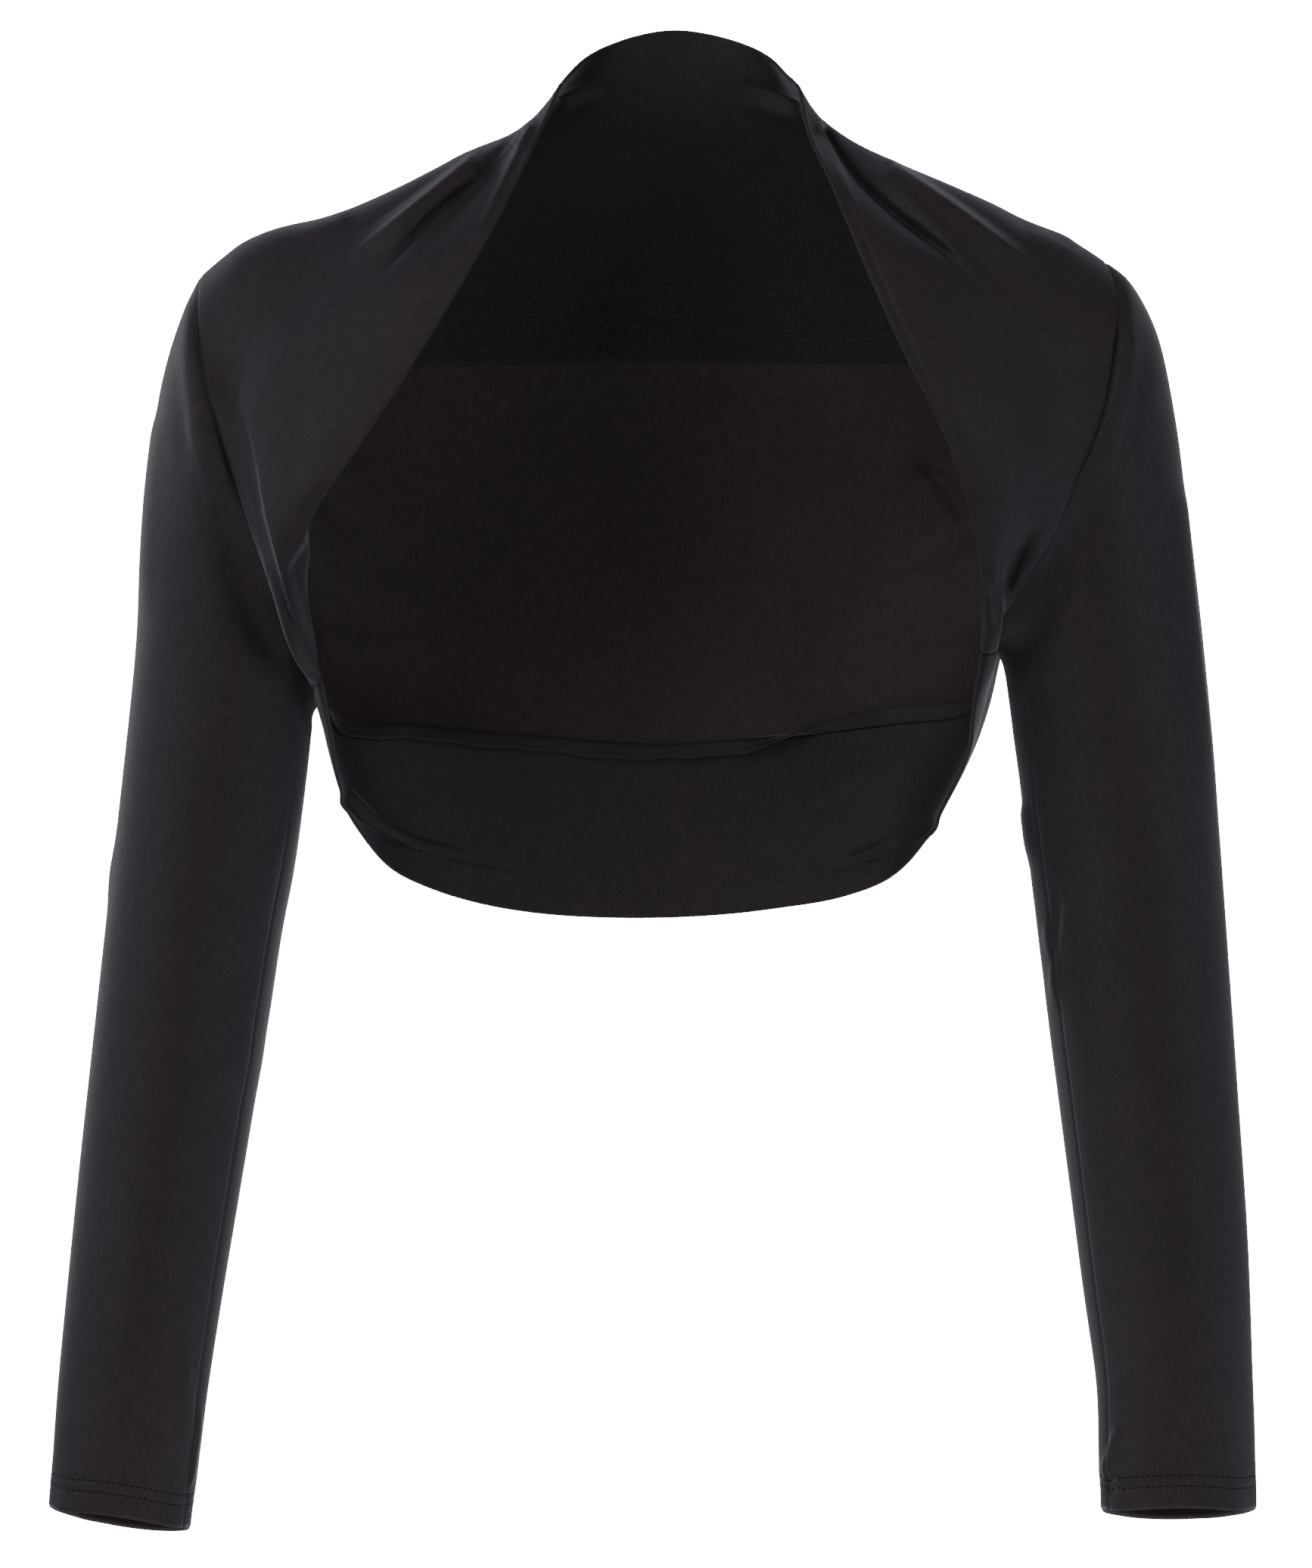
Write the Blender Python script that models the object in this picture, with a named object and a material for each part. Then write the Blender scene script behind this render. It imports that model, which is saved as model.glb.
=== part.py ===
"""Knitted shrug, in the hollow shape that it has when it is worn.

Scene units are metres, +Z is up, the front faces -Y and the wearer's left arm is at +X.
The origin is in the middle of the shoulder line, where the wearer's shoulders hold the shrug up.
Every size and table below is in millimetres, and MM turns them into metres.

The garment is five pieces of jersey: a back panel of one layer, a band folded double that makes
the stand collar and both fronts, a second doubled band across the hem, and two sleeves.
Each piece is a closed wall. Its outer face is a grid of points on smooth curves, and its inner
face is the same grid moved in by the thickness of the cloth.
"""
import bpy
import numpy as np

MM = 0.001

# ---- Driving sizes ----
SINGLE_WALL = 1.2        # one layer of jersey with its seams
DOUBLE_WALL = 2.2        # a band folded double
SEAM_GAP = 0.3           # clearance between two pieces along a seam
MITRE_LIMIT = 1.6        # most that a wall may be lengthened where two pieces meet at an angle
INNER_CORNER = 0.3       # two walls that fold together by more than this meet in an inner corner
SHARPEST_TURN = 0.5      # keeps the move that parts a seam small at a corner of the seam

AROUND = 36              # points round an armhole, a multiple of 4
UNDERARM = AROUND // 2   # place of the lowest point of the armhole, counted from the top
BAR = AROUND // 2 - 1    # place just in front of it, where the upper band and the hem band meet
YOKE_END = AROUND - 4    # place where the seam across the upper back meets the armhole
HEM_END = AROUND // 2 + 2    # place where the seam of the hem band meets the armhole
BACK_CELLS = 20          # cells across the back, along both of its seams
CROSS_CELLS = (5, 5, 3, 3)   # cells of a band: edge to middle, to crest, to dip, to seam
SLEEVE_CELLS = 22        # cells along a sleeve
SLEEVE_CROWDING = 1.35   # power that crowds those cells towards the armhole
CUFF_TILT = 0.34         # how far the cuff's plane drops towards the back, per millimetre
TILT_STARTS = 3          # row of the sleeve's table at which that tilt starts
TILT_FULL = 10           # row at which it is full
CURVE_STEPS = 40         # points read between two rows of a table to measure lengths along it
CURVE_CROWDING = 0.8     # power that keeps a curve tight where its points are close together
BAND_CROWDING = 0.75     # the same across a band, over its last fold
HEM_BLEND = 5            # stations over which the hem band's cells become even

# ---- Armhole seams: points round the seam from the shoulder tip, by the front ----
# columns: x, y, z. The row at UNDERARM_ROW is the lowest point.
UNDERARM_ROW = 9
ARMHOLE_LEFT = (
    (211, 3, 2), (213, -15, -6), (214.5, -33, -24), (211, -47, -50), (203, -56, -82),
    (191, -60, -109), (184, -59, -127), (170, -52, -151), (159.5, -36, -169), (161, 5, -182),
    (161.5, 24, -179), (168, 46, -166), (183, 62, -135), (196, 67, -98), (205, 61, -62),
    (210.5, 45, -28), (212, 24, -6),
)
ARMHOLE_RIGHT = (
    (-214, 3, -5), (-214, -15, -13), (-212.5, -33, -32), (-208, -46, -57), (-201, -54, -83),
    (-191, -59, -113), (-184, -59, -135), (-175, -54, -159), (-165.4, -34, -181), (-159.5, 8, -206),
    (-159.5, 28, -203), (-168, 48, -186), (-182, 62, -152), (-196, 67, -112), (-205, 61, -73),
    (-211.5, 45, -36), (-213.5, 24, -14),
)

# ---- Seams across the back, from the left armhole to the right ----
# columns: x, y, z
YOKE_SEAM = (
    (172, 70, -38), (118, 89, -40), (60, 101, -39), (0, 105, -38), (-60, 101, -39),
    (-118, 89, -41), (-172, 70, -41),
)
LOWER_SEAM = (
    (150, 60, -210), (120, 77, -214), (60, 91, -220), (0, 97, -224), (-60, 91, -220),
    (-120, 77, -215), (-153, 58, -213),
)
BACK_FULLNESS = 6        # how far the middle of the back panel stands out, over the shoulder blades
SIDE_FADE = 3            # power with which the bow of the armholes dies away across the back

# ---- Upper band: cross sections from the underarm, up the front and round the neck ----
# columns: station, edge x y z (the fold at the opening), crest x y z, dip x y z, crown, share
# Stations are places along the band's sewn side, counted from the lowest point of the armhole. The
# band starts at station 1. The crest and the dip are the last fold before the seam. The crown is how
# far the cloth stands out from a straight line between the edge and the crest, and the share is how
# far along that line it does so.
BAND_LEFT = (
    (1, 151, -38, -182, 156.5, -29, -182, 159.5, -18, -181, 1, 0.5),
    (2, 149.5, -52, -167, 157, -53, -167, 160, -35, -172, 1, 0.5),
    (3, 149, -63, -151, 156, -65, -156, 160.5, -49, -163, 1, 0.5),
    (4.5, 146, -74, -131, 156, -71, -141, 163, -57, -150, 2, 0.5),
    (6, 141.6, -82, -114, 158, -76, -127, 168, -65, -134, 2, 0.5),
    (9, 129.6, -88, -80, 162, -80, -90, 180, -68, -97, 2, 0.5),
    (12, 110, -78, -39, 162, -68, -52, 186, -57, -59, 3, 0.45),
    (15, 87, -52, 19, 152, -45, 0, 186, -40, -15, 2, 0.35),
    (16.5, 76, -24, 54, 149, -24, 25, 190, -23, 6, -3, 0.25),
    (18, 68.5, 8, 82, 146, 4, 35.5, 190, 4, 16, -7, 0.2),
    (20, 66, 20, 89, 146, 30, 28, 184, 30, 9, -7, 0.2),
    (22, 62, 30, 94, 146, 46, 14, 180, 48, -9, -6, 0.22),
    (24, 56, 43, 102, 124, 66, 18, 150, 70, -10, -5, 0.3),
    (27, 44, 54, 110, 84, 81, 20, 99, 88, -11, -5, 0.4),
)
BAND_BACK = (
    (32, 9, 62, 118, 3, 94, 24, 1, 101, -8, -5, 0.45),
)
BAND_RIGHT = (
    (1, -155, -40, -195, -158.4, -30, -197, -159.8, -18, -198.5, 1, 0.5),
    (2, -156.5, -51, -182, -164, -52, -186, -164, -34, -190, 1, 0.5),
    (3, -158, -57, -171, -167.7, -66, -173, -169, -44, -180, 1, 0.5),
    (4.5, -160.5, -64, -153, -172, -80, -152, -174, -56, -164, 2, 0.5),
    (5.2, -160.7, -67, -142, -174.5, -82, -143, -176.5, -59, -155, 6, 0.5),
    (6, -160, -72, -134.5, -176.5, -81, -134, -180, -62, -146, 9, 0.35),
    (6.8, -158.5, -79, -126, -179, -79, -122, -184, -62, -137, 7, 0.25),
    (7.5, -152, -86.5, -114, -181, -77, -109, -188, -62, -124, 4, 0.3),
    (9, -140, -88, -96, -184, -71, -88, -193, -57, -104, 3, 0.45),
    (12, -111, -79, -51, -189, -57, -60, -198, -47, -68, 5, 0.45),
    (15, -75, -52, 14, -168, -43, -17, -195, -38, -26, 3, 0.35),
    (16.5, -57, -22, 55, -154, -24, 15, -193, -22, 2, -3, 0.25),
    (18, -47, 8, 83, -148, 4, 25, -192, 4, 12.5, -5.5, 0.13),
    (20, -45, 18, 88, -144, 29, 19, -186, 30, 5, -5.5, 0.13),
    (22, -42.6, 28, 92.4, -142, 45, 10, -178, 47, -13, -6, 0.22),
    (24, -36, 41, 101, -112, 66, 18, -143, 70, -10, -5, 0.3),
    (27, -24, 54, 109.7, -78, 81, 20, -96, 88, -11, -5, 0.4),
)

# ---- Hem band: its fold, from each underarm to the middle of the back ----
# columns: station, x, y, z, crown
HEM_LEFT = (
    (0, 151, -38, -182, 0), (1, 148.6, -12, -212, 1), (2, 148.5, 2, -224, 1),
    (3, 146.5, 13, -233, 1), (4, 142.5, 25, -243, 2), (5, 137, 37, -255, 2),
    (6, 129, 51, -270.5, 2), (7, 116, 66, -286, 2), (8, 100, 75.5, -294.5, 2),
    (10, 64, 87, -302.5, 2),
)
HEM_BACK = (
    (13, 0, 95, -308, 2),
)
HEM_RIGHT = (
    (0, -155, -40, -195, 0), (1, -152.5, -12, -221, 1), (2, -151, 6, -237, 1),
    (3, -148.5, 22, -250, 1), (4, -145, 34, -260, 2), (5, -139, 46, -270, 2),
    (6, -130, 59, -281.5, 2), (7, -118, 69, -289.5, 2), (8, -102, 77.5, -296, 2),
    (10, -66, 87.5, -304.5, 2),
)

# ---- Sleeves: rings from just below the armhole to the cuff ----
# columns: outer x z, inner x z, centre y, depth in front and behind, bow of the ring in x in
# front and behind
SLEEVE_LEFT = (
    (219, -4, 162.5, -186.5, 3, 60, 63, 15, 10),
    (226, -13, 164, -193, 3, 58.5, 61.5, 12, 9),
    (234, -29, 165.5, -203, 3, 57, 60, 9, 7),
    (242.5, -64, 167.5, -219, 3, 54, 57, 5, 4),
    (248.5, -108, 170.5, -240, 3, 51, 53, 2, 2),
    (255, -160, 174, -270, 3, 49, 50, 0, 0),
    (260, -212, 178, -303, 1, 47, 48, 0, 0),
    (264.5, -272, 182.5, -342, -2, 46, 46, 0, 0),
    (268.5, -335, 187.5, -384, -8, 43, 43, 0, 0),
    (272, -396, 193, -430, -17, 39, 39, 0, 0),
    (275, -456, 198.5, -478, -29, 34, 34, 0, 0),
    (276, -515, 204, -525, -42, 28, 29, 0, 0),
    (276.6, -562, 204.2, -564, -51, 23, 24, 0, 0),
    (276.3, -577, 204.5, -577, -54, 21, 22, 0, 0),
)
SLEEVE_RIGHT = (
    (-217.5, -12, -160.8, -209.5, 3, 60, 63, 12, 9),
    (-222.5, -24, -161.2, -213, 3, 59, 62, 10, 8),
    (-229.5, -45, -161.8, -219, 3, 57, 60, 8, 6),
    (-236.3, -81, -163, -231, 3, 54, 57, 4, 3),
    (-241, -122, -165.5, -252, 3, 51, 53, 1, 1),
    (-244.2, -178, -169.5, -281, 3, 49, 50, 0, 0),
    (-250.5, -242, -175.5, -313, 1, 47, 48, 0, 0),
    (-257, -302, -181, -350, -3, 46, 46, 0, 0),
    (-263, -362, -187.5, -391, -10, 42, 42, 0, 0),
    (-268.5, -420, -194.5, -436, -20, 37, 37, 0, 0),
    (-273.2, -476, -201.5, -482, -32, 32, 32, 0, 0),
    (-277, -526, -208, -529, -43, 26, 27, 0, 0),
    (-278.8, -562, -212.5, -570, -51, 22, 23, 0, 0),
    (-279.4, -576, -214, -585.5, -54, 20, 21, 0, 0),
)

# ---- Largest folds of the fronts and shoulders, seen from the front, fanning out from the neck ----
# columns: x z at the neck end, x z half way, x z at the lower end, height, half width, and the
# depth y at which the fold dies away over the shoulder
FRONT_FOLDS = (
    (-82, 55, -112, 27, -148, -7, 2.4, 9, 0),
    (-78, 42, -103, 14, -128, -17, -2.4, 9, 0),
    (-84, 57, -112, 43, -142, 27, 3.8, 9, 24),
    (78, 64, 101, 32, 152, -16, -3.2, 10, 0),
    (116, 27, 140, 7, 168, -18, 2.2, 10, 0),
    (109, 48, 147, 21, 180, -4, 1.8, 8, 0),
    (168, 26, 176, 18, 190, 7, -2.4, 7, 24),
)
FOLD_SIDE = 14           # half of the depth over which a fold dies away there
FOLD_FADES = 0.45        # share of its length after which a fold gets lower
FOLD_END = 0.2           # share of its height that it keeps at its lower end
SEAM_FADE = 2            # cells beside a seam over which a fold dies away

# ---- Colour of the jersey ----
JERSEY = (0.021, 0.019, 0.022, 1.0)
JERSEY_ROUGHNESS = 0.8


def clear_scene():
    for thing in list(bpy.data.objects):
        bpy.data.objects.remove(thing, do_unlink=True)


def unit(vectors):
    length = np.linalg.norm(vectors, axis=-1, keepdims=True)
    return vectors / np.maximum(length, 1e-9)


def smooth_step(value, low, high):
    """Rises smoothly from 0 at low to 1 at high."""
    share = np.clip((value - low) / (high - low), 0, 1)
    return share * share * (3 - 2 * share)


def bulge(share):
    """0 at both ends of a run from 0 to 1, and 1 half way."""
    return 4 * share * (1 - share)


# ---------------------------------------------------------------- curves
def curve(places, values, wanted):
    """Smooth curve through values at rising places, read at the wanted places."""
    places = np.asarray(places, float)
    values = np.asarray(values, float)
    wanted = np.asarray(wanted, float)
    spans = np.diff(places)
    spread = spans.reshape((-1,) + (1,) * (values.ndim - 1))
    rates = np.diff(values, axis=0) / spread
    slopes = np.empty_like(values)
    slopes[1:-1] = (rates[:-1] * spread[1:] + rates[1:] * spread[:-1]) / (spread[1:] + spread[:-1])
    slopes[0] = 1.5 * rates[0] - 0.5 * slopes[1]
    slopes[-1] = 1.5 * rates[-1] - 0.5 * slopes[-2]
    cell = np.clip(np.searchsorted(places, wanted, side="right") - 1, 0, len(spans) - 1)
    along = ((wanted - places[cell]) / spans[cell]).reshape((-1,) + (1,) * (values.ndim - 1))
    span = spread[cell]
    square = along * along
    cube = square * along
    return ((2 * cube - 3 * square + 1) * values[cell]
            + (cube - 2 * square + along) * span * slopes[cell]
            + (3 * square - 2 * cube) * values[cell + 1]
            + (cube - square) * span * slopes[cell + 1])


def travelled(points):
    """Distance along a line of points, from its first one."""
    return np.concatenate([[0], np.cumsum(np.linalg.norm(np.diff(points, axis=0), axis=1))])


def evenly(points, cells):
    """The same line of points, read again at equal distances."""
    distance = travelled(points)
    wanted = np.linspace(0, distance[-1], cells + 1)
    return np.stack([np.interp(wanted, distance, points[:, axis]) for axis in range(3)], axis=1)


def through(points):
    """Dense smooth line through a short list of points."""
    points = np.asarray(points, float)
    places = travelled(points) ** CURVE_CROWDING
    wanted = np.concatenate([
        np.linspace(places[cell], places[cell + 1], CURVE_STEPS, endpoint=False)
        for cell in range(len(points) - 1)
    ] + [[places[-1]]])
    return curve(places, points, wanted)


# ---------------------------------------------------------------- seams
def armhole(rows):
    """Points round an armhole seam, from the shoulder tip by the front, evenly on each half."""
    overlap = 3
    ring = np.array(rows[-overlap:] + rows + rows[:overlap + 1], float)
    line = through(ring)
    top = overlap * CURVE_STEPS
    low = (overlap + UNDERARM_ROW) * CURVE_STEPS
    end = (overlap + len(rows)) * CURVE_STEPS
    front = evenly(line[top:low + 1], AROUND // 2)
    back = evenly(line[low:end + 1], AROUND // 2)
    return np.vstack([front[:-1], back[:-1]])


def across_back(rows, start, end):
    """A seam across the back, between a point of each armhole."""
    return evenly(through(np.vstack([start, np.array(rows, float), end])), BACK_CELLS)


# ---------------------------------------------------------------- surfaces
def whole_band(left, back, right):
    """Rows of both sides as one run, with the right side's stations counted on past the middle."""
    middle = back[0][0]
    mirrored = [(2 * middle - row[0],) + tuple(row[1:]) for row in reversed(right)]
    return np.array(list(left) + list(back) + mirrored, float)


def band_surface(seam_line):
    """Outer face of the upper band: stations along it, and cells from its fold to its seam."""
    rows = whole_band(BAND_LEFT, BAND_BACK, BAND_RIGHT)
    stations = np.arange(len(seam_line)) + UNDERARM - BAR
    table = curve(rows[:, 0], rows[:, 1:], stations)
    edge = table[:, 0:3]
    crest = table[:, 3:6]
    dip = table[:, 6:9]
    crown = table[:, 9:10]
    share = table[:, 10:11]
    along = unit(np.gradient(edge, axis=0) + np.gradient(crest, axis=0))
    outward = unit(np.cross(crest - edge, along))
    middle = edge + (crest - edge) * share + outward * crown
    sections = np.stack([edge, middle, crest, dip, seam_line], axis=1)
    return np.array([cross_section(section) for section in sections])


def cross_section(knots):
    """Points across a band, with CROSS_CELLS cells between its knots."""
    places = travelled(knots) ** BAND_CROWDING
    wanted = [places[0]]
    for cell, count in enumerate(CROSS_CELLS):
        wanted.extend(np.linspace(places[cell], places[cell + 1], count + 1)[1:])
    return curve(places, knots, wanted)


def hem_surface(seam_line, first, last):
    """Outer face of the hem band, from its fold to its seam. It starts and ends on the upper
    band's own end sections, first and last."""
    rows = whole_band(HEM_LEFT, HEM_BACK, HEM_RIGHT)
    count = len(seam_line)
    table = curve(rows[:, 0], rows[:, 1:], np.arange(count))
    edge = table[:, 0:3]
    crown = table[:, 3:4]
    along = unit(np.gradient(edge, axis=0) + np.gradient(seam_line, axis=0))
    outward = unit(np.cross(along, seam_line - edge))
    even = np.linspace(0, 1, sum(CROSS_CELLS) + 1)
    surface = []
    for station in range(count):
        end = first if station < count / 2 else last
        share = travelled(end)
        share = share / share[-1]
        to_even = smooth_step(min(station, count - 1 - station), 0, HEM_BLEND)
        share = share * (1 - to_even) + even * to_even
        line = edge[station] + (seam_line[station] - edge[station]) * share[:, None]
        line = line + outward[station] * crown[station] * bulge(share)[:, None]
        surface.append(line)
    surface[0] = first
    surface[-1] = last
    return np.array(surface)


def panel_surface(top, bottom, left, right):
    """Outer face of the back panel, blended between its four seams and a little fuller inside."""
    across = np.linspace(0, 1, len(top))[:, None, None]
    down = np.linspace(0, 1, len(left))[None, :, None]
    surface = top[:, None] * (1 - down) + bottom[:, None] * down
    left_bow = left[None] - surface[:1]
    right_bow = right[None] - surface[-1:]
    surface = surface + left_bow * (1 - across) ** SIDE_FADE + right_bow * across ** SIDE_FADE
    surface[..., 1] += BACK_FULLNESS * (bulge(across) * bulge(down))[..., 0]
    return surface


def sleeve_surface(ring, rows):
    """Outer face of a sleeve: rings from the armhole to the cuff."""
    angle = np.arange(AROUND) * 2 * np.pi / AROUND
    reach = np.cos(angle)
    side = -np.sin(angle)
    rings = [ring]
    outward = np.sign(rows[0][0])
    for number, row in enumerate(rows):
        outer_x, outer_z, inner_x, inner_z, centre, front, behind, bow_front, bow_behind = row
        tilt = CUFF_TILT * smooth_step(number, TILT_STARTS, TILT_FULL)
        depth = np.where(side < 0, front, behind)
        bow = np.where(side < 0, bow_front, bow_behind)
        x = (outer_x + inner_x) / 2 + (outer_x - inner_x) / 2 * reach + outward * bow * side ** 2
        y = centre + depth * side
        z = (outer_z + inner_z) / 2 + (outer_z - inner_z) / 2 * reach - tilt * depth * side
        rings.append(np.stack([x, y, z], axis=1))
    rings = np.array(rings)
    middles = rings.mean(axis=1)
    places = travelled(middles)
    wanted = places[-1] * np.linspace(0, 1, SLEEVE_CELLS + 1) ** SLEEVE_CROWDING
    return curve(places, rings, wanted)


# ---------------------------------------------------------------- folds
def distance_to_fold(x, z, fold):
    """Distance from a fold's line in the front view, and how far along it, from 0 to 1."""
    line = through([(fold[0], 0, fold[1]), (fold[2], 0, fold[3]), (fold[4], 0, fold[5])])
    gaps = np.hypot(x[..., None] - line[:, 0], z[..., None] - line[:, 2])
    nearest = gaps.argmin(axis=-1)
    return gaps.min(axis=-1), nearest / (len(line) - 1)


def fold_height(surface):
    """How far the folds lift each point of the upper band."""
    x = surface[..., 0]
    y = surface[..., 1]
    z = surface[..., 2]
    total = np.zeros(x.shape)
    for fold in FRONT_FOLDS:
        height, half_width, depth = fold[6:]
        gap, along = distance_to_fold(x, z, fold)
        lasting = 1 - (1 - FOLD_END) * smooth_step(along, FOLD_FADES, 1)
        in_front = 1 - smooth_step(y, depth - FOLD_SIDE, depth + FOLD_SIDE)
        total += height * np.exp(-(gap / half_width) ** 2) * lasting * in_front
    beside_seam = smooth_step(np.arange(x.shape[1])[::-1], 0, SEAM_FADE)
    return total * beside_seam


# ---------------------------------------------------------------- walls
def face_out(surface, closed, flip):
    """Unit directions pointing out of a grid surface."""
    if closed:
        across = np.roll(surface, -1, axis=1) - np.roll(surface, 1, axis=1)
    else:
        across = np.gradient(surface, axis=1)
    along = np.gradient(surface, axis=0)
    outward = unit(np.cross(across, along))
    return -outward if flip else outward


class Piece:
    """One piece of cloth: its outer face as a grid, and the edges where it is sewn on."""

    def __init__(self, name, surface, wall, closed=False, flip=False):
        self.name = name
        self.surface = surface
        self.wall = wall
        self.closed = closed
        self.flip = flip
        self.outward = face_out(surface, closed, flip)
        self.inward = -self.outward * wall
        self.shift = np.zeros_like(surface)

    def edge(self, side):
        """Grid places of one edge, and of the row beside it inside the piece."""
        rows, columns = self.surface.shape[:2]
        if side == "first":
            places = [(0, column) for column in range(columns)]
            beside = [(1, column) for column in range(columns)]
        elif side == "last":
            places = [(rows - 1, column) for column in range(columns)]
            beside = [(rows - 2, column) for column in range(columns)]
        elif side == "low":
            places = [(row, 0) for row in range(rows)]
            beside = [(row, 1) for row in range(rows)]
        else:
            places = [(row, columns - 1) for row in range(rows)]
            beside = [(row, columns - 2) for row in range(rows)]
        if self.closed:
            places.append(places[0])
            beside.append(beside[0])
        return places, beside


def key(point):
    """Name for a seam point, the same for every piece that is sewn there."""
    return tuple(np.round(point, 3))


def meet(pieces, sewn):
    """Mitre the pieces where they are sewn together, and part them there by SEAM_GAP."""
    spots = {}
    for piece in pieces:
        for side in sewn[piece.name]:
            for place, beside in zip(*piece.edge(side)):
                into = unit(piece.surface[beside] - piece.surface[place])
                here = spots.setdefault(key(piece.surface[place]), {})
                here[piece.name] = (piece.outward[place].copy(), into)
    for piece in pieces:
        for side in sewn[piece.name]:
            places, beside = piece.edge(side)
            turn_to_mitre(piece, places, spots)
            part_along(piece, places, spots)


def turn_to_mitre(piece, places, spots):
    """Where cloth meets flat or round an outer corner, both walls end on one shared direction.
    Round an inner corner each wall keeps its own."""
    for place in places:
        here = spots[key(piece.surface[place])]
        own, own_into = here[piece.name]
        shared = np.zeros(3)
        for outward, into in here.values():
            both = unit(own + outward)
            if np.dot(own_into + into, both) < INNER_CORNER or outward is own:
                shared += outward
        shared = unit(shared)
        reach = 1 / max(float(np.dot(own, shared)), 1 / MITRE_LIMIT)
        piece.inward[place] = -shared * piece.wall * reach


def part_along(piece, places, spots):
    """Move one sewn edge of a piece back from its neighbours by half of the gap."""
    away = []
    for start, end in zip(places[:-1], places[1:]):
        at_start = spots[key(piece.surface[start])]
        at_end = spots[key(piece.surface[end])]
        both = [name for name in at_start if name in at_end]
        between = unit(sum(at_start[name][0] + at_end[name][0] for name in both))
        step = unit(piece.surface[end] - piece.surface[start])
        direction = unit(np.cross(step, between))
        into = at_start[piece.name][1] + at_end[piece.name][1]
        away.append(direction * np.sign(np.dot(direction, into)))
    away = np.array(away)
    before = np.vstack([away[-1:] if piece.closed else away[:1], away])
    after = np.vstack([away, away[:1] if piece.closed else away[-1:]])
    turn = 1 + np.einsum("ij,ij->i", before, after)
    moves = (before + after) / np.maximum(turn, SHARPEST_TURN)[:, None] * SEAM_GAP / 2
    last = len(places) - 1 if piece.closed else len(places)
    for number in range(last):
        piece.shift[places[number]] += moves[number]


def build_wall(piece, material):
    """A closed mesh between a piece's outer face and its inner face."""
    outer = piece.surface + piece.shift
    inner = outer + piece.inward
    rows, columns = outer.shape[:2]
    count = rows * columns
    points = np.vstack([outer.reshape(-1, 3), inner.reshape(-1, 3)]) * MM

    def spot(row, column):
        return row * columns + column % columns

    faces = []
    last_column = columns if piece.closed else columns - 1
    for row in range(rows - 1):
        for column in range(last_column):
            face = [spot(row, column), spot(row, column + 1),
                    spot(row + 1, column + 1), spot(row + 1, column)]
            faces.append(face)
            faces.append([corner + count for corner in reversed(face)])
    rim = [(spot(0, column + 1), spot(0, column)) for column in range(last_column)]
    rim += [(spot(rows - 1, column), spot(rows - 1, column + 1)) for column in range(last_column)]
    if not piece.closed:
        rim += [(spot(row, 0), spot(row + 1, 0)) for row in range(rows - 1)]
        rim += [(spot(row + 1, columns - 1), spot(row, columns - 1)) for row in range(rows - 1)]
    for start, end in rim:
        faces.append([start, end, end + count, start + count])
    if piece.flip:
        faces = [face[::-1] for face in faces]
    mesh = bpy.data.meshes.new(piece.name)
    mesh.from_pydata(points.tolist(), [], faces)
    mesh.validate()
    mesh.shade_smooth()
    mesh.materials.append(material)
    thing = bpy.data.objects.new(piece.name, mesh)
    bpy.context.scene.collection.objects.link(thing)
    return thing


def jersey(name):
    material = bpy.data.materials.new(name)
    material.use_nodes = True
    shader = material.node_tree.nodes["Principled BSDF"]
    shader.inputs["Base Color"].default_value = JERSEY
    shader.inputs["Roughness"].default_value = JERSEY_ROUGHNESS
    shader.inputs["Metallic"].default_value = 0.0
    return material


# ---------------------------------------------------------------- the garment
def make_pieces():
    left = armhole(ARMHOLE_LEFT)
    right = armhole(ARMHOLE_RIGHT)
    yoke = across_back(YOKE_SEAM, left[YOKE_END], right[YOKE_END])
    lower = across_back(LOWER_SEAM, left[HEM_END], right[HEM_END])

    up_front = [place % AROUND for place in range(BAR, YOKE_END - AROUND - 1, -1)]
    band_seam = np.vstack([left[up_front], yoke[1:-1], right[up_front[::-1]]])
    under_arm = list(range(BAR, HEM_END + 1))
    hem_seam = np.vstack([left[under_arm], lower[1:-1], right[under_arm[::-1]]])
    down_back = list(range(YOKE_END, HEM_END - 1, -1))

    band = band_surface(band_seam)
    band += face_out(band, False, False) * fold_height(band)[..., None]
    hem = hem_surface(hem_seam, band[0], band[-1])
    panel = panel_surface(yoke, lower, left[down_back], right[down_back])
    return [
        Piece("back_panel", panel, SINGLE_WALL),
        Piece("upper_band", band, DOUBLE_WALL),
        Piece("hem_band", hem, DOUBLE_WALL, flip=True),
        Piece("sleeve_left", sleeve_surface(left, SLEEVE_LEFT), SINGLE_WALL, closed=True),
        Piece("sleeve_right", sleeve_surface(right, SLEEVE_RIGHT), SINGLE_WALL, closed=True,
              flip=True),
    ]


SEWN = {
    "back_panel": ("first", "last", "low", "high"),
    "upper_band": ("first", "last", "high"),
    "hem_band": ("first", "last", "high"),
    "sleeve_left": ("first",),
    "sleeve_right": ("first",),
}


def main():
    clear_scene()
    pieces = make_pieces()
    meet(pieces, SEWN)
    for piece in pieces:
        build_wall(piece, jersey("jersey_" + piece.name))


main()
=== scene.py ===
"""Knitted shrug: the cloth that shows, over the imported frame.

The frame's own shape functions are repeated here with the same sizes, in millimetres. Each piece of
cloth is then read from them on a much finer grid, gets its creases, seams and folded edges, and
stands for the plain solid of the same name.
"""

import math

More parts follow.
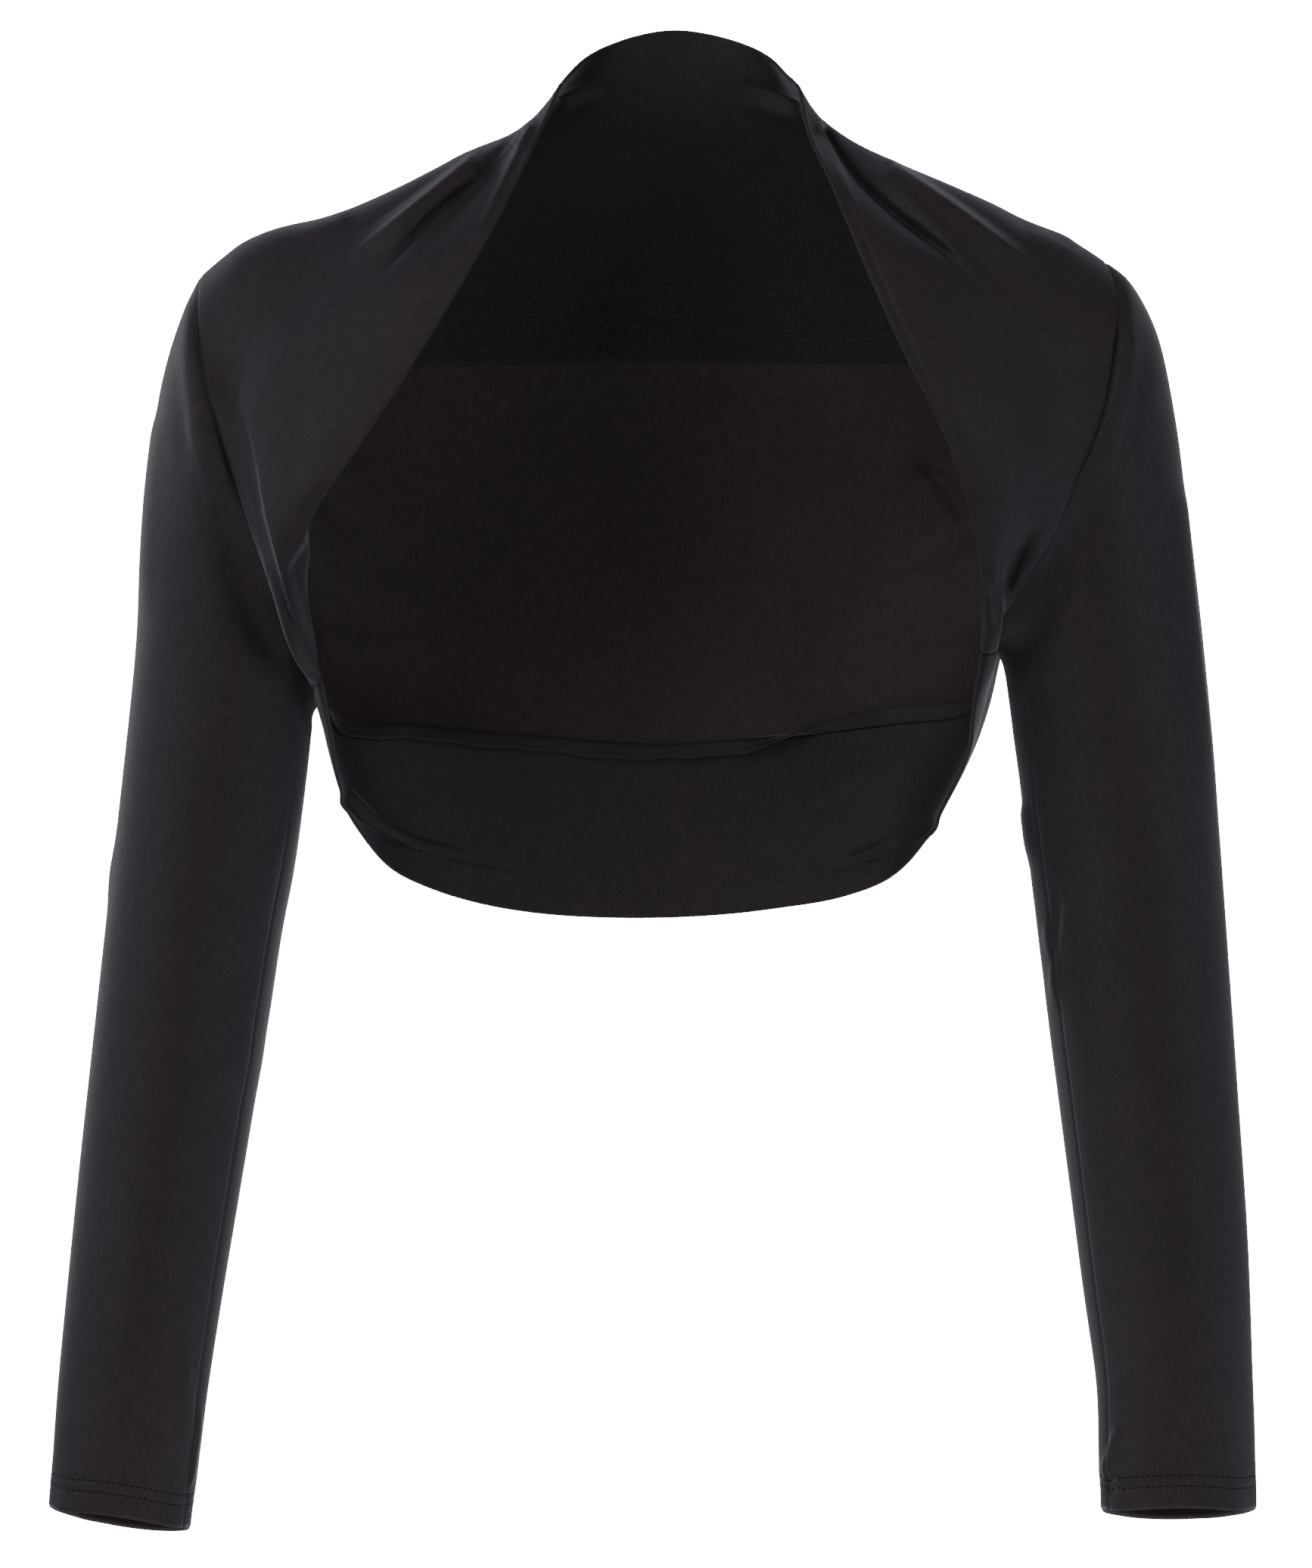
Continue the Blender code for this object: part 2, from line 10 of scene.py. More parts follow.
import bpy
import numpy as np
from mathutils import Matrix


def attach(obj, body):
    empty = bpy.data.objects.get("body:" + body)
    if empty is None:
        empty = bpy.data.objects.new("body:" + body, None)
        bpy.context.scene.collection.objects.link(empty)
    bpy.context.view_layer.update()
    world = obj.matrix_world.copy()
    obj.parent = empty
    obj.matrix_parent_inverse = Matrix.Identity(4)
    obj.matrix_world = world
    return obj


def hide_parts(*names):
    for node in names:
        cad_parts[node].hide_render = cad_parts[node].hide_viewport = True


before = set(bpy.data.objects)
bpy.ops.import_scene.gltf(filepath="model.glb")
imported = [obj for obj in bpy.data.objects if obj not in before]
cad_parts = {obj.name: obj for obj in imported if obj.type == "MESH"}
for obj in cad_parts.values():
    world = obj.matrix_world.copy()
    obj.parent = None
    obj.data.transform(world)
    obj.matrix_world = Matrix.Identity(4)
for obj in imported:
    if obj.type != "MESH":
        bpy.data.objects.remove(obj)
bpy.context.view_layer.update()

MM = 0.001
TINY = 1e-9              # keeps lengths of nothing from dividing by it

# ---- The plain grids of the frame ----
AROUND = 36              # points round an armhole, a multiple of 4
UNDERARM = AROUND // 2   # place of the lowest point of the armhole, counted from the top
BAR = AROUND // 2 - 1    # place just in front of it, where the upper band and the hem band meet
YOKE_END = AROUND - 4    # place where the seam across the upper back meets the armhole
HEM_END = AROUND // 2 + 2    # place where the seam of the hem band meets the armhole
BACK_CELLS = 20          # cells across the back, along both of its seams
CROSS_CELLS = (5, 5, 3, 3)   # cells of a band: edge to middle, to crest, to dip, to seam
SLEEVE_CELLS = 22        # cells along a sleeve
SLEEVE_CROWDING = 1.35   # power that crowds those cells towards the armhole
CUFF_TILT = 0.34         # how far the cuff's plane drops towards the back, per millimetre
TILT_ROWS = (3, 10)      # rows of the sleeve's table over which that tilt begins
CURVE_STEPS = 40         # points read between two rows of a table to measure lengths along it
CURVE_CROWDING = 0.8     # power that keeps a curve tight where its points are close together
BAND_CROWDING = 0.75     # the same across a band, over its last fold
HEM_BLEND = 5            # stations over which the hem band's cells become even

# ---- Armhole seams: points round the seam from the shoulder tip, by the front ----
# columns: x, y, z. The row at UNDERARM_ROW is the lowest point.
UNDERARM_ROW = 9
ARMHOLE_LEFT = (
    (211, 3, 2), (213, -15, -6), (214.5, -33, -24), (211, -47, -50), (203, -56, -82),
    (191, -60, -109), (184, -59, -127), (170, -52, -151), (159.5, -36, -169), (161, 5, -182),
    (161.5, 24, -179), (168, 46, -166), (183, 62, -135), (196, 67, -98), (205, 61, -62),
    (210.5, 45, -28), (212, 24, -6),
)
ARMHOLE_RIGHT = (
    (-214, 3, -5), (-214, -15, -13), (-212.5, -33, -32), (-208, -46, -57), (-201, -54, -83),
    (-191, -59, -113), (-184, -59, -135), (-175, -54, -159), (-165.4, -34, -181), (-159.5, 8, -206),
    (-159.5, 28, -203), (-168, 48, -186), (-182, 62, -152), (-196, 67, -112), (-205, 61, -73),
    (-211.5, 45, -36), (-213.5, 24, -14),
)

# ---- Seams across the back, from the left armhole to the right ----
# columns: x, y, z
YOKE_SEAM = (
    (172, 70, -38), (118, 89, -40), (60, 101, -39), (0, 105, -38), (-60, 101, -39),
    (-118, 89, -41), (-172, 70, -41),
)
LOWER_SEAM = (
    (150, 60, -210), (120, 77, -214), (60, 91, -220), (0, 97, -224), (-60, 91, -220),
    (-120, 77, -215), (-153, 58, -213),
)
BACK_FULLNESS = 6        # how far the middle of the back panel stands out, over the shoulder blades
SIDE_FADE = 3            # power with which the bow of the armholes dies away across the back

# ---- Upper band: cross sections from the underarm, up the front and round the neck ----
# columns: station, edge x y z (the fold at the opening), crest x y z, dip x y z, crown, share
# Stations are places along the band's sewn side, counted from the lowest point of the armhole. The
# crest and the dip are the last fold before the seam. The crown is how far the cloth stands out
# from a straight line between the edge and the crest, and the share is how far along it does so.
BAND_LEFT = (
    (1, 151, -38, -182, 156.5, -29, -182, 159.5, -18, -181, 1, 0.5),
    (2, 149.5, -52, -167, 157, -53, -167, 160, -35, -172, 1, 0.5),
    (3, 149, -63, -151, 156, -65, -156, 160.5, -49, -163, 1, 0.5),
    (4.5, 146, -74, -131, 156, -71, -141, 163, -57, -150, 2, 0.5),
    (6, 141.6, -82, -114, 158, -76, -127, 168, -65, -134, 2, 0.5),
    (9, 129.6, -88, -80, 162, -80, -90, 180, -68, -97, 2, 0.5),
    (12, 110, -78, -39, 162, -68, -52, 186, -57, -59, 3, 0.45),
    (15, 87, -52, 19, 152, -45, 0, 186, -40, -15, 2, 0.35),
    (16.5, 76, -24, 54, 149, -24, 25, 190, -23, 6, -3, 0.25),
    (18, 68.5, 8, 82, 146, 4, 35.5, 190, 4, 16, -7, 0.2),
    (20, 66, 20, 89, 146, 30, 28, 184, 30, 9, -7, 0.2),
    (22, 62, 30, 94, 146, 46, 14, 180, 48, -9, -6, 0.22),
    (24, 56, 43, 102, 124, 66, 18, 150, 70, -10, -5, 0.3),
    (27, 44, 54, 110, 84, 81, 20, 99, 88, -11, -5, 0.4),
)
BAND_BACK = (
    (32, 9, 62, 118, 3, 94, 24, 1, 101, -8, -5, 0.45),
)
BAND_RIGHT = (
    (1, -155, -40, -195, -158.4, -30, -197, -159.8, -18, -198.5, 1, 0.5),
    (2, -156.5, -51, -182, -164, -52, -186, -164, -34, -190, 1, 0.5),
    (3, -158, -57, -171, -167.7, -66, -173, -169, -44, -180, 1, 0.5),
    (4.5, -160.5, -64, -153, -172, -80, -152, -174, -56, -164, 2, 0.5),
    (5.2, -160.7, -67, -142, -174.5, -82, -143, -176.5, -59, -155, 6, 0.5),
    (6, -160, -72, -134.5, -176.5, -81, -134, -180, -62, -146, 9, 0.35),
    (6.8, -158.5, -79, -126, -179, -79, -122, -184, -62, -137, 7, 0.25),
    (7.5, -152, -86.5, -114, -181, -77, -109, -188, -62, -124, 4, 0.3),
    (9, -140, -88, -96, -184, -71, -88, -193, -57, -104, 3, 0.45),
    (12, -111, -79, -51, -189, -57, -60, -198, -47, -68, 5, 0.45),
    (15, -75, -52, 14, -168, -43, -17, -195, -38, -26, 3, 0.35),
    (16.5, -57, -22, 55, -154, -24, 15, -193, -22, 2, -3, 0.25),
    (18, -47, 8, 83, -148, 4, 25, -192, 4, 12.5, -5.5, 0.13),
    (20, -45, 18, 88, -144, 29, 19, -186, 30, 5, -5.5, 0.13),
    (22, -42.6, 28, 92.4, -142, 45, 10, -178, 47, -13, -6, 0.22),
    (24, -36, 41, 101, -112, 66, 18, -143, 70, -10, -5, 0.3),
    (27, -24, 54, 109.7, -78, 81, 20, -96, 88, -11, -5, 0.4),
)

# ---- Hem band: its fold, from each underarm to the middle of the back ----
# columns: station, x, y, z, crown
HEM_LEFT = (
    (0, 151, -38, -182, 0), (1, 148.6, -12, -212, 1), (2, 148.5, 2, -224, 1),
    (3, 146.5, 13, -233, 1), (4, 142.5, 25, -243, 2), (5, 137, 37, -255, 2),
    (6, 129, 51, -270.5, 2), (7, 116, 66, -286, 2), (8, 100, 75.5, -294.5, 2),
    (10, 64, 87, -302.5, 2),
)
HEM_BACK = (
    (13, 0, 95, -308, 2),
)
HEM_RIGHT = (
    (0, -155, -40, -195, 0), (1, -152.5, -12, -221, 1), (2, -151, 6, -237, 1),
    (3, -148.5, 22, -250, 1), (4, -145, 34, -260, 2), (5, -139, 46, -270, 2),
    (6, -130, 59, -281.5, 2), (7, -118, 69, -289.5, 2), (8, -102, 77.5, -296, 2),
    (10, -66, 87.5, -304.5, 2),
)

# ---- Sleeves: rings from just below the armhole to the cuff ----
# columns: outer x z, inner x z, centre y, depth in front and behind, bow of the ring in x in
# front and behind
SLEEVE_LEFT = (
    (219, -4, 162.5, -186.5, 3, 60, 63, 15, 10),
    (226, -13, 164, -193, 3, 58.5, 61.5, 12, 9),
    (234, -29, 165.5, -203, 3, 57, 60, 9, 7),
    (242.5, -64, 167.5, -219, 3, 54, 57, 5, 4),
    (248.5, -108, 170.5, -240, 3, 51, 53, 2, 2),
    (255, -160, 174, -270, 3, 49, 50, 0, 0),
    (260, -212, 178, -303, 1, 47, 48, 0, 0),
    (264.5, -272, 182.5, -342, -2, 46, 46, 0, 0),
    (268.5, -335, 187.5, -384, -8, 43, 43, 0, 0),
    (272, -396, 193, -430, -17, 39, 39, 0, 0),
    (275, -456, 198.5, -478, -29, 34, 34, 0, 0),
    (276, -515, 204, -525, -42, 28, 29, 0, 0),
    (276.6, -562, 204.2, -564, -51, 23, 24, 0, 0),
    (276.3, -577, 204.5, -577, -54, 21, 22, 0, 0),
)
SLEEVE_RIGHT = (
    (-217.5, -12, -160.8, -209.5, 3, 60, 63, 12, 9),
    (-222.5, -24, -161.2, -213, 3, 59, 62, 10, 8),
    (-229.5, -45, -161.8, -219, 3, 57, 60, 8, 6),
    (-236.3, -81, -163, -231, 3, 54, 57, 4, 3),
    (-241, -122, -165.5, -252, 3, 51, 53, 1, 1),
    (-244.2, -178, -169.5, -281, 3, 49, 50, 0, 0),
    (-250.5, -242, -175.5, -313, 1, 47, 48, 0, 0),
    (-257, -302, -181, -350, -3, 46, 46, 0, 0),
    (-263, -362, -187.5, -391, -10, 42, 42, 0, 0),
    (-268.5, -420, -194.5, -436, -20, 37, 37, 0, 0),
    (-273.2, -476, -201.5, -482, -32, 32, 32, 0, 0),
    (-277, -526, -208, -529, -43, 26, 27, 0, 0),
    (-278.8, -562, -212.5, -570, -51, 22, 23, 0, 0),
    (-279.4, -576, -214, -585.5, -54, 20, 21, 0, 0),
)

# ---- Largest folds of the fronts and shoulders, fanning out from the neck, seen from the front ---
# columns: x z at the neck end, x z half way, x z at the lower end, height, half width, and the
# depth y at which the fold dies away over the shoulder
FRONT_FOLDS = (
    (-82, 55, -112, 27, -148, -7, 2.4, 9, 0),
    (-78, 42, -103, 14, -128, -17, -2.4, 9, 0),
    (-84, 57, -112, 43, -142, 27, 3.8, 9, 24),
    (78, 64, 101, 32, 152, -16, -3.2, 10, 0),
    (116, 27, 140, 7, 168, -18, 2.2, 10, 0),
    (109, 48, 147, 21, 180, -4, 1.8, 8, 0),
    (168, 26, 176, 18, 190, 7, -2.4, 7, 24),
)
FOLD_SIDE = 14           # half of the depth over which a fold dies away there
FOLD_FADES = 0.45        # share of its length after which a fold gets lower
FOLD_END = 0.2           # share of its height that it keeps at its lower end
SEAM_FADE = 2            # cells beside a seam over which a fold dies away

# ---- The view that the creases are placed in ----
VIEW_DISTANCE = 3000.0   # the camera stands this far in front of the shoulder line
VIEW_HEIGHT = -243.0     # height of the camera and of the middle of its picture
VIEW_HALF = 367.78       # half of the picture's height at the shoulder line
TO_BACK = np.array([0.0, 1.0, 0.0])

# ---- Creases, as they are seen from the front ----
# columns: x z at the start, x z half way, x z at the end, height, half width to the left of the
# line as one walks along it, half width to its right, share of the length over which it rises, and
# share over which it dies away
BAND_IN_FRONT = (
    # the wearer's right front, fanning out from the neck
    (-83, 54, -109, 32, -150, 0, 8, 9, 1.4, 0.1, 0.45),
    (-90, 53, -114, 34.5, -153, 5, -5, 2, 9, 0.28, 0.55),
    (-57, 69, -70, 54, -84, 36, 4, 4.5, 1.6, 0.12, 0.7),
    (-58, 68, -73, 38, -88, 6, 3.6, 2, 1.8, 0.05, 0.5),
    (-66, 59, -80, 41, -104, 10, -5, 3.6, 5, 0.1, 0.5),
    (-83, 41, -112, 16, -133, -9, -4, 2.6, 1.4, 0.2, 0.4),
    (-98, 18, -121, -2, -146, -32, 2, 8, 6, 0.4, 0.6),
    (-144, 25, -158, 19, -176, 11, 3, 5, 4, 0.1, 0.6),
    # the wearer's left front, fanning out from the neck
    (76, 68, 86, 46, 101, 12, 3.6, 1.8, 3, 0.04, 0.55),
    (78, 65, 104, 32, 142, 2, -8.5, 1.9, 4, 0.04, 0.3),
    (112, 26, 135, 7, 156, -14, -3.2, 1.6, 3.4, 0.55, 0.45),
    (142, 13, 158, -4, 174, -22, -2.4, 1.6, 3.6, 0.5, 0.5),
    (92, 50, 131, 19, 173, -25, 2.4, 4, 3, 0.2, 0.6),
    (109, 49, 143, 26, 186, -6, 6, 1.5, 8, 0.02, 0.45),
    (110.5, 53, 145.5, 30, 188, -1.5, -5.5, 9, 2, 0.05, 0.5),
    (122, 14, 148, -13, 165, -34, 1.6, 7, 5, 0.35, 0.6),
    (176, 19, 189, 10, 204, 2, 2.4, 1.6, 5, 0.1, 0.6),
    # the side of the wearer's right front's folded corner
    (-195, -52, -186, -101, -175.9, -146, 0.8, 8, 1.6, 0.5, 0.03),
    # tucks at the wearer's left underarm
    (179, -120, 168, -140, 160, -158, -4, 3, 3, 0.4, 0.25),
    (184, -126, 172, -146, 160, -165, 1.4, 2.5, 2, 0.35, 0.25),
    (158, -150, 157, -162, 159, -173, -1.6, 1.8, 2.2, 0.25, 0.25),
)
BAND_BEHIND = (
    # inside of the collar
    (-48, 78, -36, 84, -24, 89, 1.8, 2, 3.5, 0.1, 0.7),
    (-50, 71, -36, 76, -20, 81, -2.2, 3.5, 3.5, 0.1, 0.7),
    (-58, 55, -43, 61, -25, 65, 1.2, 2.2, 2.6, 0.1, 0.8),
    (71, 75, 53, 83, 31, 88, 1.8, 3.5, 2, 0.1, 0.7),
    (71, 68, 54, 73, 36, 77, -2.2, 3.5, 3.5, 0.1, 0.7),
    (78, 55, 66, 60, 50, 64, 1, 2.6, 2.2, 0.1, 0.8),
    # shoulders and yoke, seen from behind
    (-96, 40, -128, 26, -162, 12, 2.4, 5, 2.4, 0.2, 0.6),
    (-72, 44, -100, 16, -138, -12, -2, 5, 5, 0.25, 0.55),
    (-120, 8, -148, -8, -176, -30, 1.6, 4, 6, 0.4, 0.5),
    (92, 40, 124, 27, 160, 15, 2.2, 2.6, 5, 0.2, 0.6),
    (74, 42, 104, 14, 140, -18, -2.2, 5, 5, 0.25, 0.55),
    (118, 12, 150, -6, 180, -28, 1.7, 6, 4, 0.35, 0.55),
)
PANEL_BEHIND = (
    (-178, -60, -140, -96, -96, -122, 1.3, 6, 9, 0.2, 0.6),
    (-170, -98, -138, -126, -104, -142, -1.2, 6, 6, 0.25, 0.6),
    (-166, -160, -132, -168, -92, -166, 1.1, 5, 7, 0.2, 0.65),
    (176, -54, 140, -88, 100, -118, 1.2, 8, 6, 0.2, 0.6),
    (170, -110, 134, -134, 98, -146, -1.1, 6, 6, 0.25, 0.6),
    (162, -158, 128, -172, 84, -174, 1.2, 7, 5, 0.2, 0.65),
    (-40, -196, -4, -203, 42, -198, 0.8, 6, 7, 0.4, 0.4),
    (120, -86, 135, -102, 152, -128, 2.4, 2.6, 4, 0.3, 0.3),
)
HEM_BEHIND = (
    (-149, -243, -122, -267, -62, -280.5, -1.9, 1.8, 1.4, 0.16, 0.45),
    (-150, -246.5, -135, -263, -98, -278, 2.1, 2.4, 1.3, 0.16, 0.5),
    (-106, -277.5, -80, -284, -58, -287, -1.1, 1.3, 1.5, 0.3, 0.4),
    (136, -258.5, 126, -267.5, 108, -276, 1.5, 1.3, 2.4, 0.25, 0.5),
    (114, -268, 97, -277.5, 76, -284, -1.7, 2, 2.8, 0.35, 0.45),
    (111, -274, 93, -282, 75, -286.5, 1, 1.6, 1.6, 0.3, 0.5),
    (93, -284, 75, -287.8, 58, -290, -1, 1.4, 1.4, 0.3, 0.4),
    (60, -246, 92, -240, 126, -232, 0.8, 5, 5, 0.4, 0.4),
    (-120, -236, -84, -243, -40, -247, 0.7, 6, 5, 0.4, 0.4),
)
RIGHT_SLEEVE_IN_FRONT = (
    (-216, -58, -216, -98, -213, -140, 1.1, 6, 4, 0.3, 0.6),
    (-217, -24, -209, -80, -192, -132, 1.3, 7, 8, 0.2, 0.4),
    (-205, -110, -193, -154, -178, -196, -1, 7, 9, 0.35, 0.3),
    (-234, -66, -239, -117, -241, -168, 1.2, 4.5, 2, 0.15, 0.25),
    (-200, -150, -196, -214, -196, -285, 1.1, 8, 9, 0.4, 0.5),
    (-178, -262, -182, -290, -186, -322, 1, 4, 5, 0.3, 0.5),
    (-192, -316, -204, -342, -226, -360, -1.1, 9, 10, 0.35, 0.55),
    (-188, -356, -204, -380, -232, -392, 1, 10, 9, 0.35, 0.55),
    (-246, -430, -246, -476, -250, -525, 0.8, 9, 7, 0.4, 0.5),
    (-219, -500, -220, -526, -217, -556, 0.9, 2.6, 4, 0.4, 0.3),
    (-213, -532, -216, -553, -219, -575, 1.4, 1.5, 1.8, 0.4, 0.2),
)
RIGHT_SLEEVE_BEHIND = (
    (-208, -60, -196, -118, -182, -176, -1.2, 5, 9, 0.25, 0.3),
    (-184, -286, -206, -318, -238, -336, 2.4, 6, 8, 0.25, 0.5),
    (-190, -318, -212, -346, -242, -358, -2.2, 6, 6, 0.25, 0.5),
    (-194, -352, -216, -376, -246, -384, 1.9, 6, 8, 0.25, 0.55),
    (-258, -262, -252, -300, -240, -330, 1.3, 6, 4, 0.3, 0.5),
    (-214, -430, -228, -456, -252, -468, 1.2, 7, 7, 0.3, 0.55),
)
LEFT_SLEEVE_IN_FRONT = (
    (246, -100, 254, -181, 263, -262, 1.7, 1.9, 6, 0.12, 0.35),
    (220, -16, 213, -70, 192, -126, 1.5, 9, 7, 0.2, 0.4),
    (172, -250, 174, -266, 177, -284, 1.5, 2.6, 3.5, 0.3, 0.4),
    (183, -304, 186, -328, 188, -354, 1.8, 2.3, 2.3, 0.25, 0.4),
    (189, -290, 187, -315, 184, -340, -1.4, 2.3, 2.3, 0.25, 0.4),
    (176, -196, 182, -226, 198, -256, -1, 7, 8, 0.3, 0.5),
    (190, -348, 212, -372, 240, -384, 1, 9, 9, 0.35, 0.55),
    (186, -318, 206, -340, 236, -352, -1, 9, 9, 0.35, 0.55),
    (246, -410, 250, -456, 252, -505, 0.8, 8, 8, 0.4, 0.5),
    (219, -540, 214, -555, 209, -570, 2, 1.6, 2.2, 0.35, 0.25),
    (213, -562, 214, -569, 216, -576, -1, 1.8, 1.8, 0.3, 0.3),
)
LEFT_SLEEVE_BEHIND = (
    (206, -58, 194, -112, 180, -166, -1.2, 9, 5, 0.25, 0.3),
    (184, -280, 206, -308, 240, -324, 2.4, 8, 6, 0.25, 0.5),
    (190, -312, 212, -338, 244, -350, -2.2, 6, 6, 0.25, 0.5),
    (196, -346, 218, -370, 248, -378, 1.8, 8, 6, 0.25, 0.55),
    (256, -250, 252, -290, 240, -322, 1.3, 4, 6, 0.3, 0.5),
    (212, -424, 230, -450, 254, -462, 1.2, 7, 7, 0.3, 0.55),
)
# which side of the garment each table is on. Those in flat are raised straight to the camera.
CREASES = {
    "upper_band": {"flat": BAND_IN_FRONT, "back": BAND_BEHIND},
    "hem_band": {"back": HEM_BEHIND},
    "back_panel": {"back": PANEL_BEHIND},
    "sleeve_left": {"front": LEFT_SLEEVE_IN_FRONT, "back": LEFT_SLEEVE_BEHIND},
    "sleeve_right": {"front": RIGHT_SLEEVE_IN_FRONT, "back": RIGHT_SLEEVE_BEHIND},
}
FACING_FRONT = (0.15, 0.60)   # y of the outward direction over which a crease in front dies away
FACING_BACK = (-0.35, 0.10)   # and over which one behind begins
FACING_CAMERA = (-0.05, 0.30)     # the same for one in front that is raised straight to the camera
CREASE_REACH = 3              # widths from its line within which a crease is worked out
CREASE_EVERY = 4              # every so many points of its smooth line are kept
EDGE_REACH = 40               # grid lines along a seam that are looked through for its nearest one
PANEL_FADE = 5.0              # distance from a seam over which creases begin
SLEEVE_FADE = 2.2             # the same on a sleeve

# ---- The folded corner of the wearer's right front ----
CORNER_SIDE = ((-196, -49), (-188, -88), (-183.5, -117), (-175.7, -145.7))   # down its side
CORNER_EDGE = (-162.6, -123.7)     # from there up its edge
CORNER_STEP = 1.0                  # how soon the cloth is set back beyond those lines
CORNER_REACH = 20                  # how far past that edge's end it may be set back
CORNER_BACK = 20                   # depth y from which it isn't
CORNER_SEAM_FADE = 2.5             # distance from a seam over which that begins
VALLEY_DEPTH = 12.0                # the cloth between that side and the armhole seam
VALLEY_STARTS = (50, 110)          # depths below the shoulder over which it begins
VALLEY_ENDS = (142, 178)           # and over which it dies away
STRIP_DEPTH = 3.0                  # the strip below the corner: how far it is set back
STRIP_SLOPE = 1.1                  # how much more for each millimetre across it
STRIP_STEP = 7.0                   # distance from its outer side over which that begins
STRIP_WIDTH = 14.0
STRIP_ENDS = (170, 200)            # depths below the shoulder over which it dies away
NO_GAP = 0.1                       # keeps the share across the valley from dividing by nothing
# There the band's rows are turned to meet the seam squarely: grid column from which they are turned
# fully, column where that begins, stations over which it starts and ends, smoothing and limit in
# rows
BAND_TURN = {"turned": 66, "fade": 22, "starts": (49.3, 51.5), "ends": (56.0, 59.3), "box": 21,
             "limit": 14}

# ---- Hollows of the sleeves below the arm, which are smoothed out ----
UNDERARM_HOLLOWS = {
    "sleeve_right": ((-205, -118), (-194, -153), (-184, -176), (-170, -198)),
    "sleeve_left": ((206, -118), (196, -140), (184, -163), (170, -186)),
}
RELAX_WIDTH = 9.0        # half width of the smoothing
RELAX_ROUNDS = 60
RELAX_BACK = 10.0        # depth y from which it stops
RELAX_SEAM_FADE = 6.0    # distance from a seam over which it begins

# ---- The line pressed beside the folded edge of the wearer's left front ----
ROLL_DEPTH = 0.6
ROLL_PLACE = 5.0         # distance from the edge
ROLL_WIDTH = 1.5
ROLL_STARTS = (-185, -140)   # heights over which it begins
ROLL_ENDS = (0, 60)      # and over which it dies away
ROLL_FACING = 0.2        # y of the outward direction up to which the cloth counts as in front

# ---- Sewing ----
SHOWN_SINGLE = 1.0       # thickness of one layer of jersey
SHOWN_DOUBLE = 1.9       # thickness of a band folded double, and of a cuff's hem
FOLD_WALL = 0.12         # share of its thickness that a piece keeps at the very edge of a fold
SEAM_WALL = 1.0          # thickness that both pieces have where they are sewn together
SEAM_DIP = 0.32          # depth of the groove along a seam
SEAM_LAP = 0.07          # how far the inner faces of sewn pieces pass each other inside the seam
SEAM_WIDTH = 1.8         # how far from the seam that groove reaches
SEAM_REACH = 1.5         # distance within which edges are sewn to each other
OPPOSED = 0.5            # length below which the directions of two edges cancel out
CUFF_HEM = 18.0          # depth of the hem turned up inside a cuff
CUFF_HEM_STEP = 1.2      # distance over which it begins
CUFF_ROWS = (9.9, 14.4)  # distance of the two rows of stitches from the cuff's edge
CUFF_SINK = (0.16, 0.14)     # how deep they lie, and how much more where the cloth ripples
CUFF_SINK_WIDTH = 0.9
CUFF_PUFF = 0.12         # how far the cloth swells between them
CUFF_PUFF_WIDTH = 2.4
CUFF_RIPPLES = (26, 5, 2.2)  # ripples round a cuff, how often their spacing varies, and how much
CUFF_WAVE = 0.35         # how far the cuff's edge swells and dips
CUFF_WAVES = ((3, 0.6, 1), (7, 2.1, 0.6), (11, 0, 0.4))  # waves round it, phase, share of height
CUFF_WAVE_ENDS = (4, 26)     # distances from the edge over which they die away
CUFF_DROP = 4.5          # how much lower the front of a cuff hangs than the frame's
CUFF_DROP_ENDS = (4, 45)     # distances from the edge over which that ends
CUFF_FRONT = (0.25, 0.95)    # y towards the front over which it begins
STITCH_STEP = 2.9        # length of one stitch and the space after it
STITCH_LENGTH = 2.1
STITCH_THICK = 0.42
# columns: place along a stitch, height above the cloth, share of its thickness
STITCH_SHAPE = ((0, -0.12, 0.45), (0.18, 0.06, 0.9), (0.5, 0.12, 1), (0.82, 0.06, 0.9),
                (1, -0.12, 0.45))
THREAD_SIDES = 6
UPRIGHT = 0.8            # z of a thread's direction from which its sides are counted from x
SLEEVE_SEAM_PLACE = 15.4     # place of the sleeve's own seam round its rings
SLEEVE_SEAM_DIP = 0.5
SLEEVE_SEAM_WIDTH = 1.1
SLEEVE_SEAM_STARTS = (20, 90)    # distances from the armhole over which it begins

# ---- The overlocked seam allowance inside the back ----
ALLOWANCE = 7.5          # its width
ALLOWANCE_WALL = 1.3
ALLOWANCE_ENDS = 6       # distance that it keeps from both ends of the seam
ALLOWANCE_STEPS = 420    # points along it
# columns: share of the width, share of the thickness
ALLOWANCE_SHAPE = ((0, 1), (0.15, 1), (0.3, 1), (0.45, 1), (0.6, 0.95), (0.75, 0.9), (0.88, 0.8),
                   (0.96, 0.55), (1, 0.15))
ALLOWANCE_TURN = 80      # degrees by which it lies down on the wearer's right and up on the left
ALLOWANCE_FLIP = (28, 112)   # x over which it passes from down to up
# columns: wave length over 2 pi, height
ALLOWANCE_LEAN = ((17, 0.05), (6.3, 0.025))    # uneven turn, as a share of it
ALLOWANCE_EDGE = ((4.1, 0.35), (11, 0.3))      # uneven width
LOOP_STEP = 2.2          # distance between the overlock's stitches
# columns: place along a stitch, share of the width, side of the cloth
LOOP_SHAPE = ((0, 0.42, 1), (0.5, 1.03, 0), (1, 0.42, -1))
LOOP_LIFT = 0.12         # how far they lie off the cloth
LOOP_RADIUS = 0.2
NEEDLE_PLACE = 0.42      # share of the width at which the needle stitches run
NEEDLE_STEP = 2.4        # length of one of them and the space after it

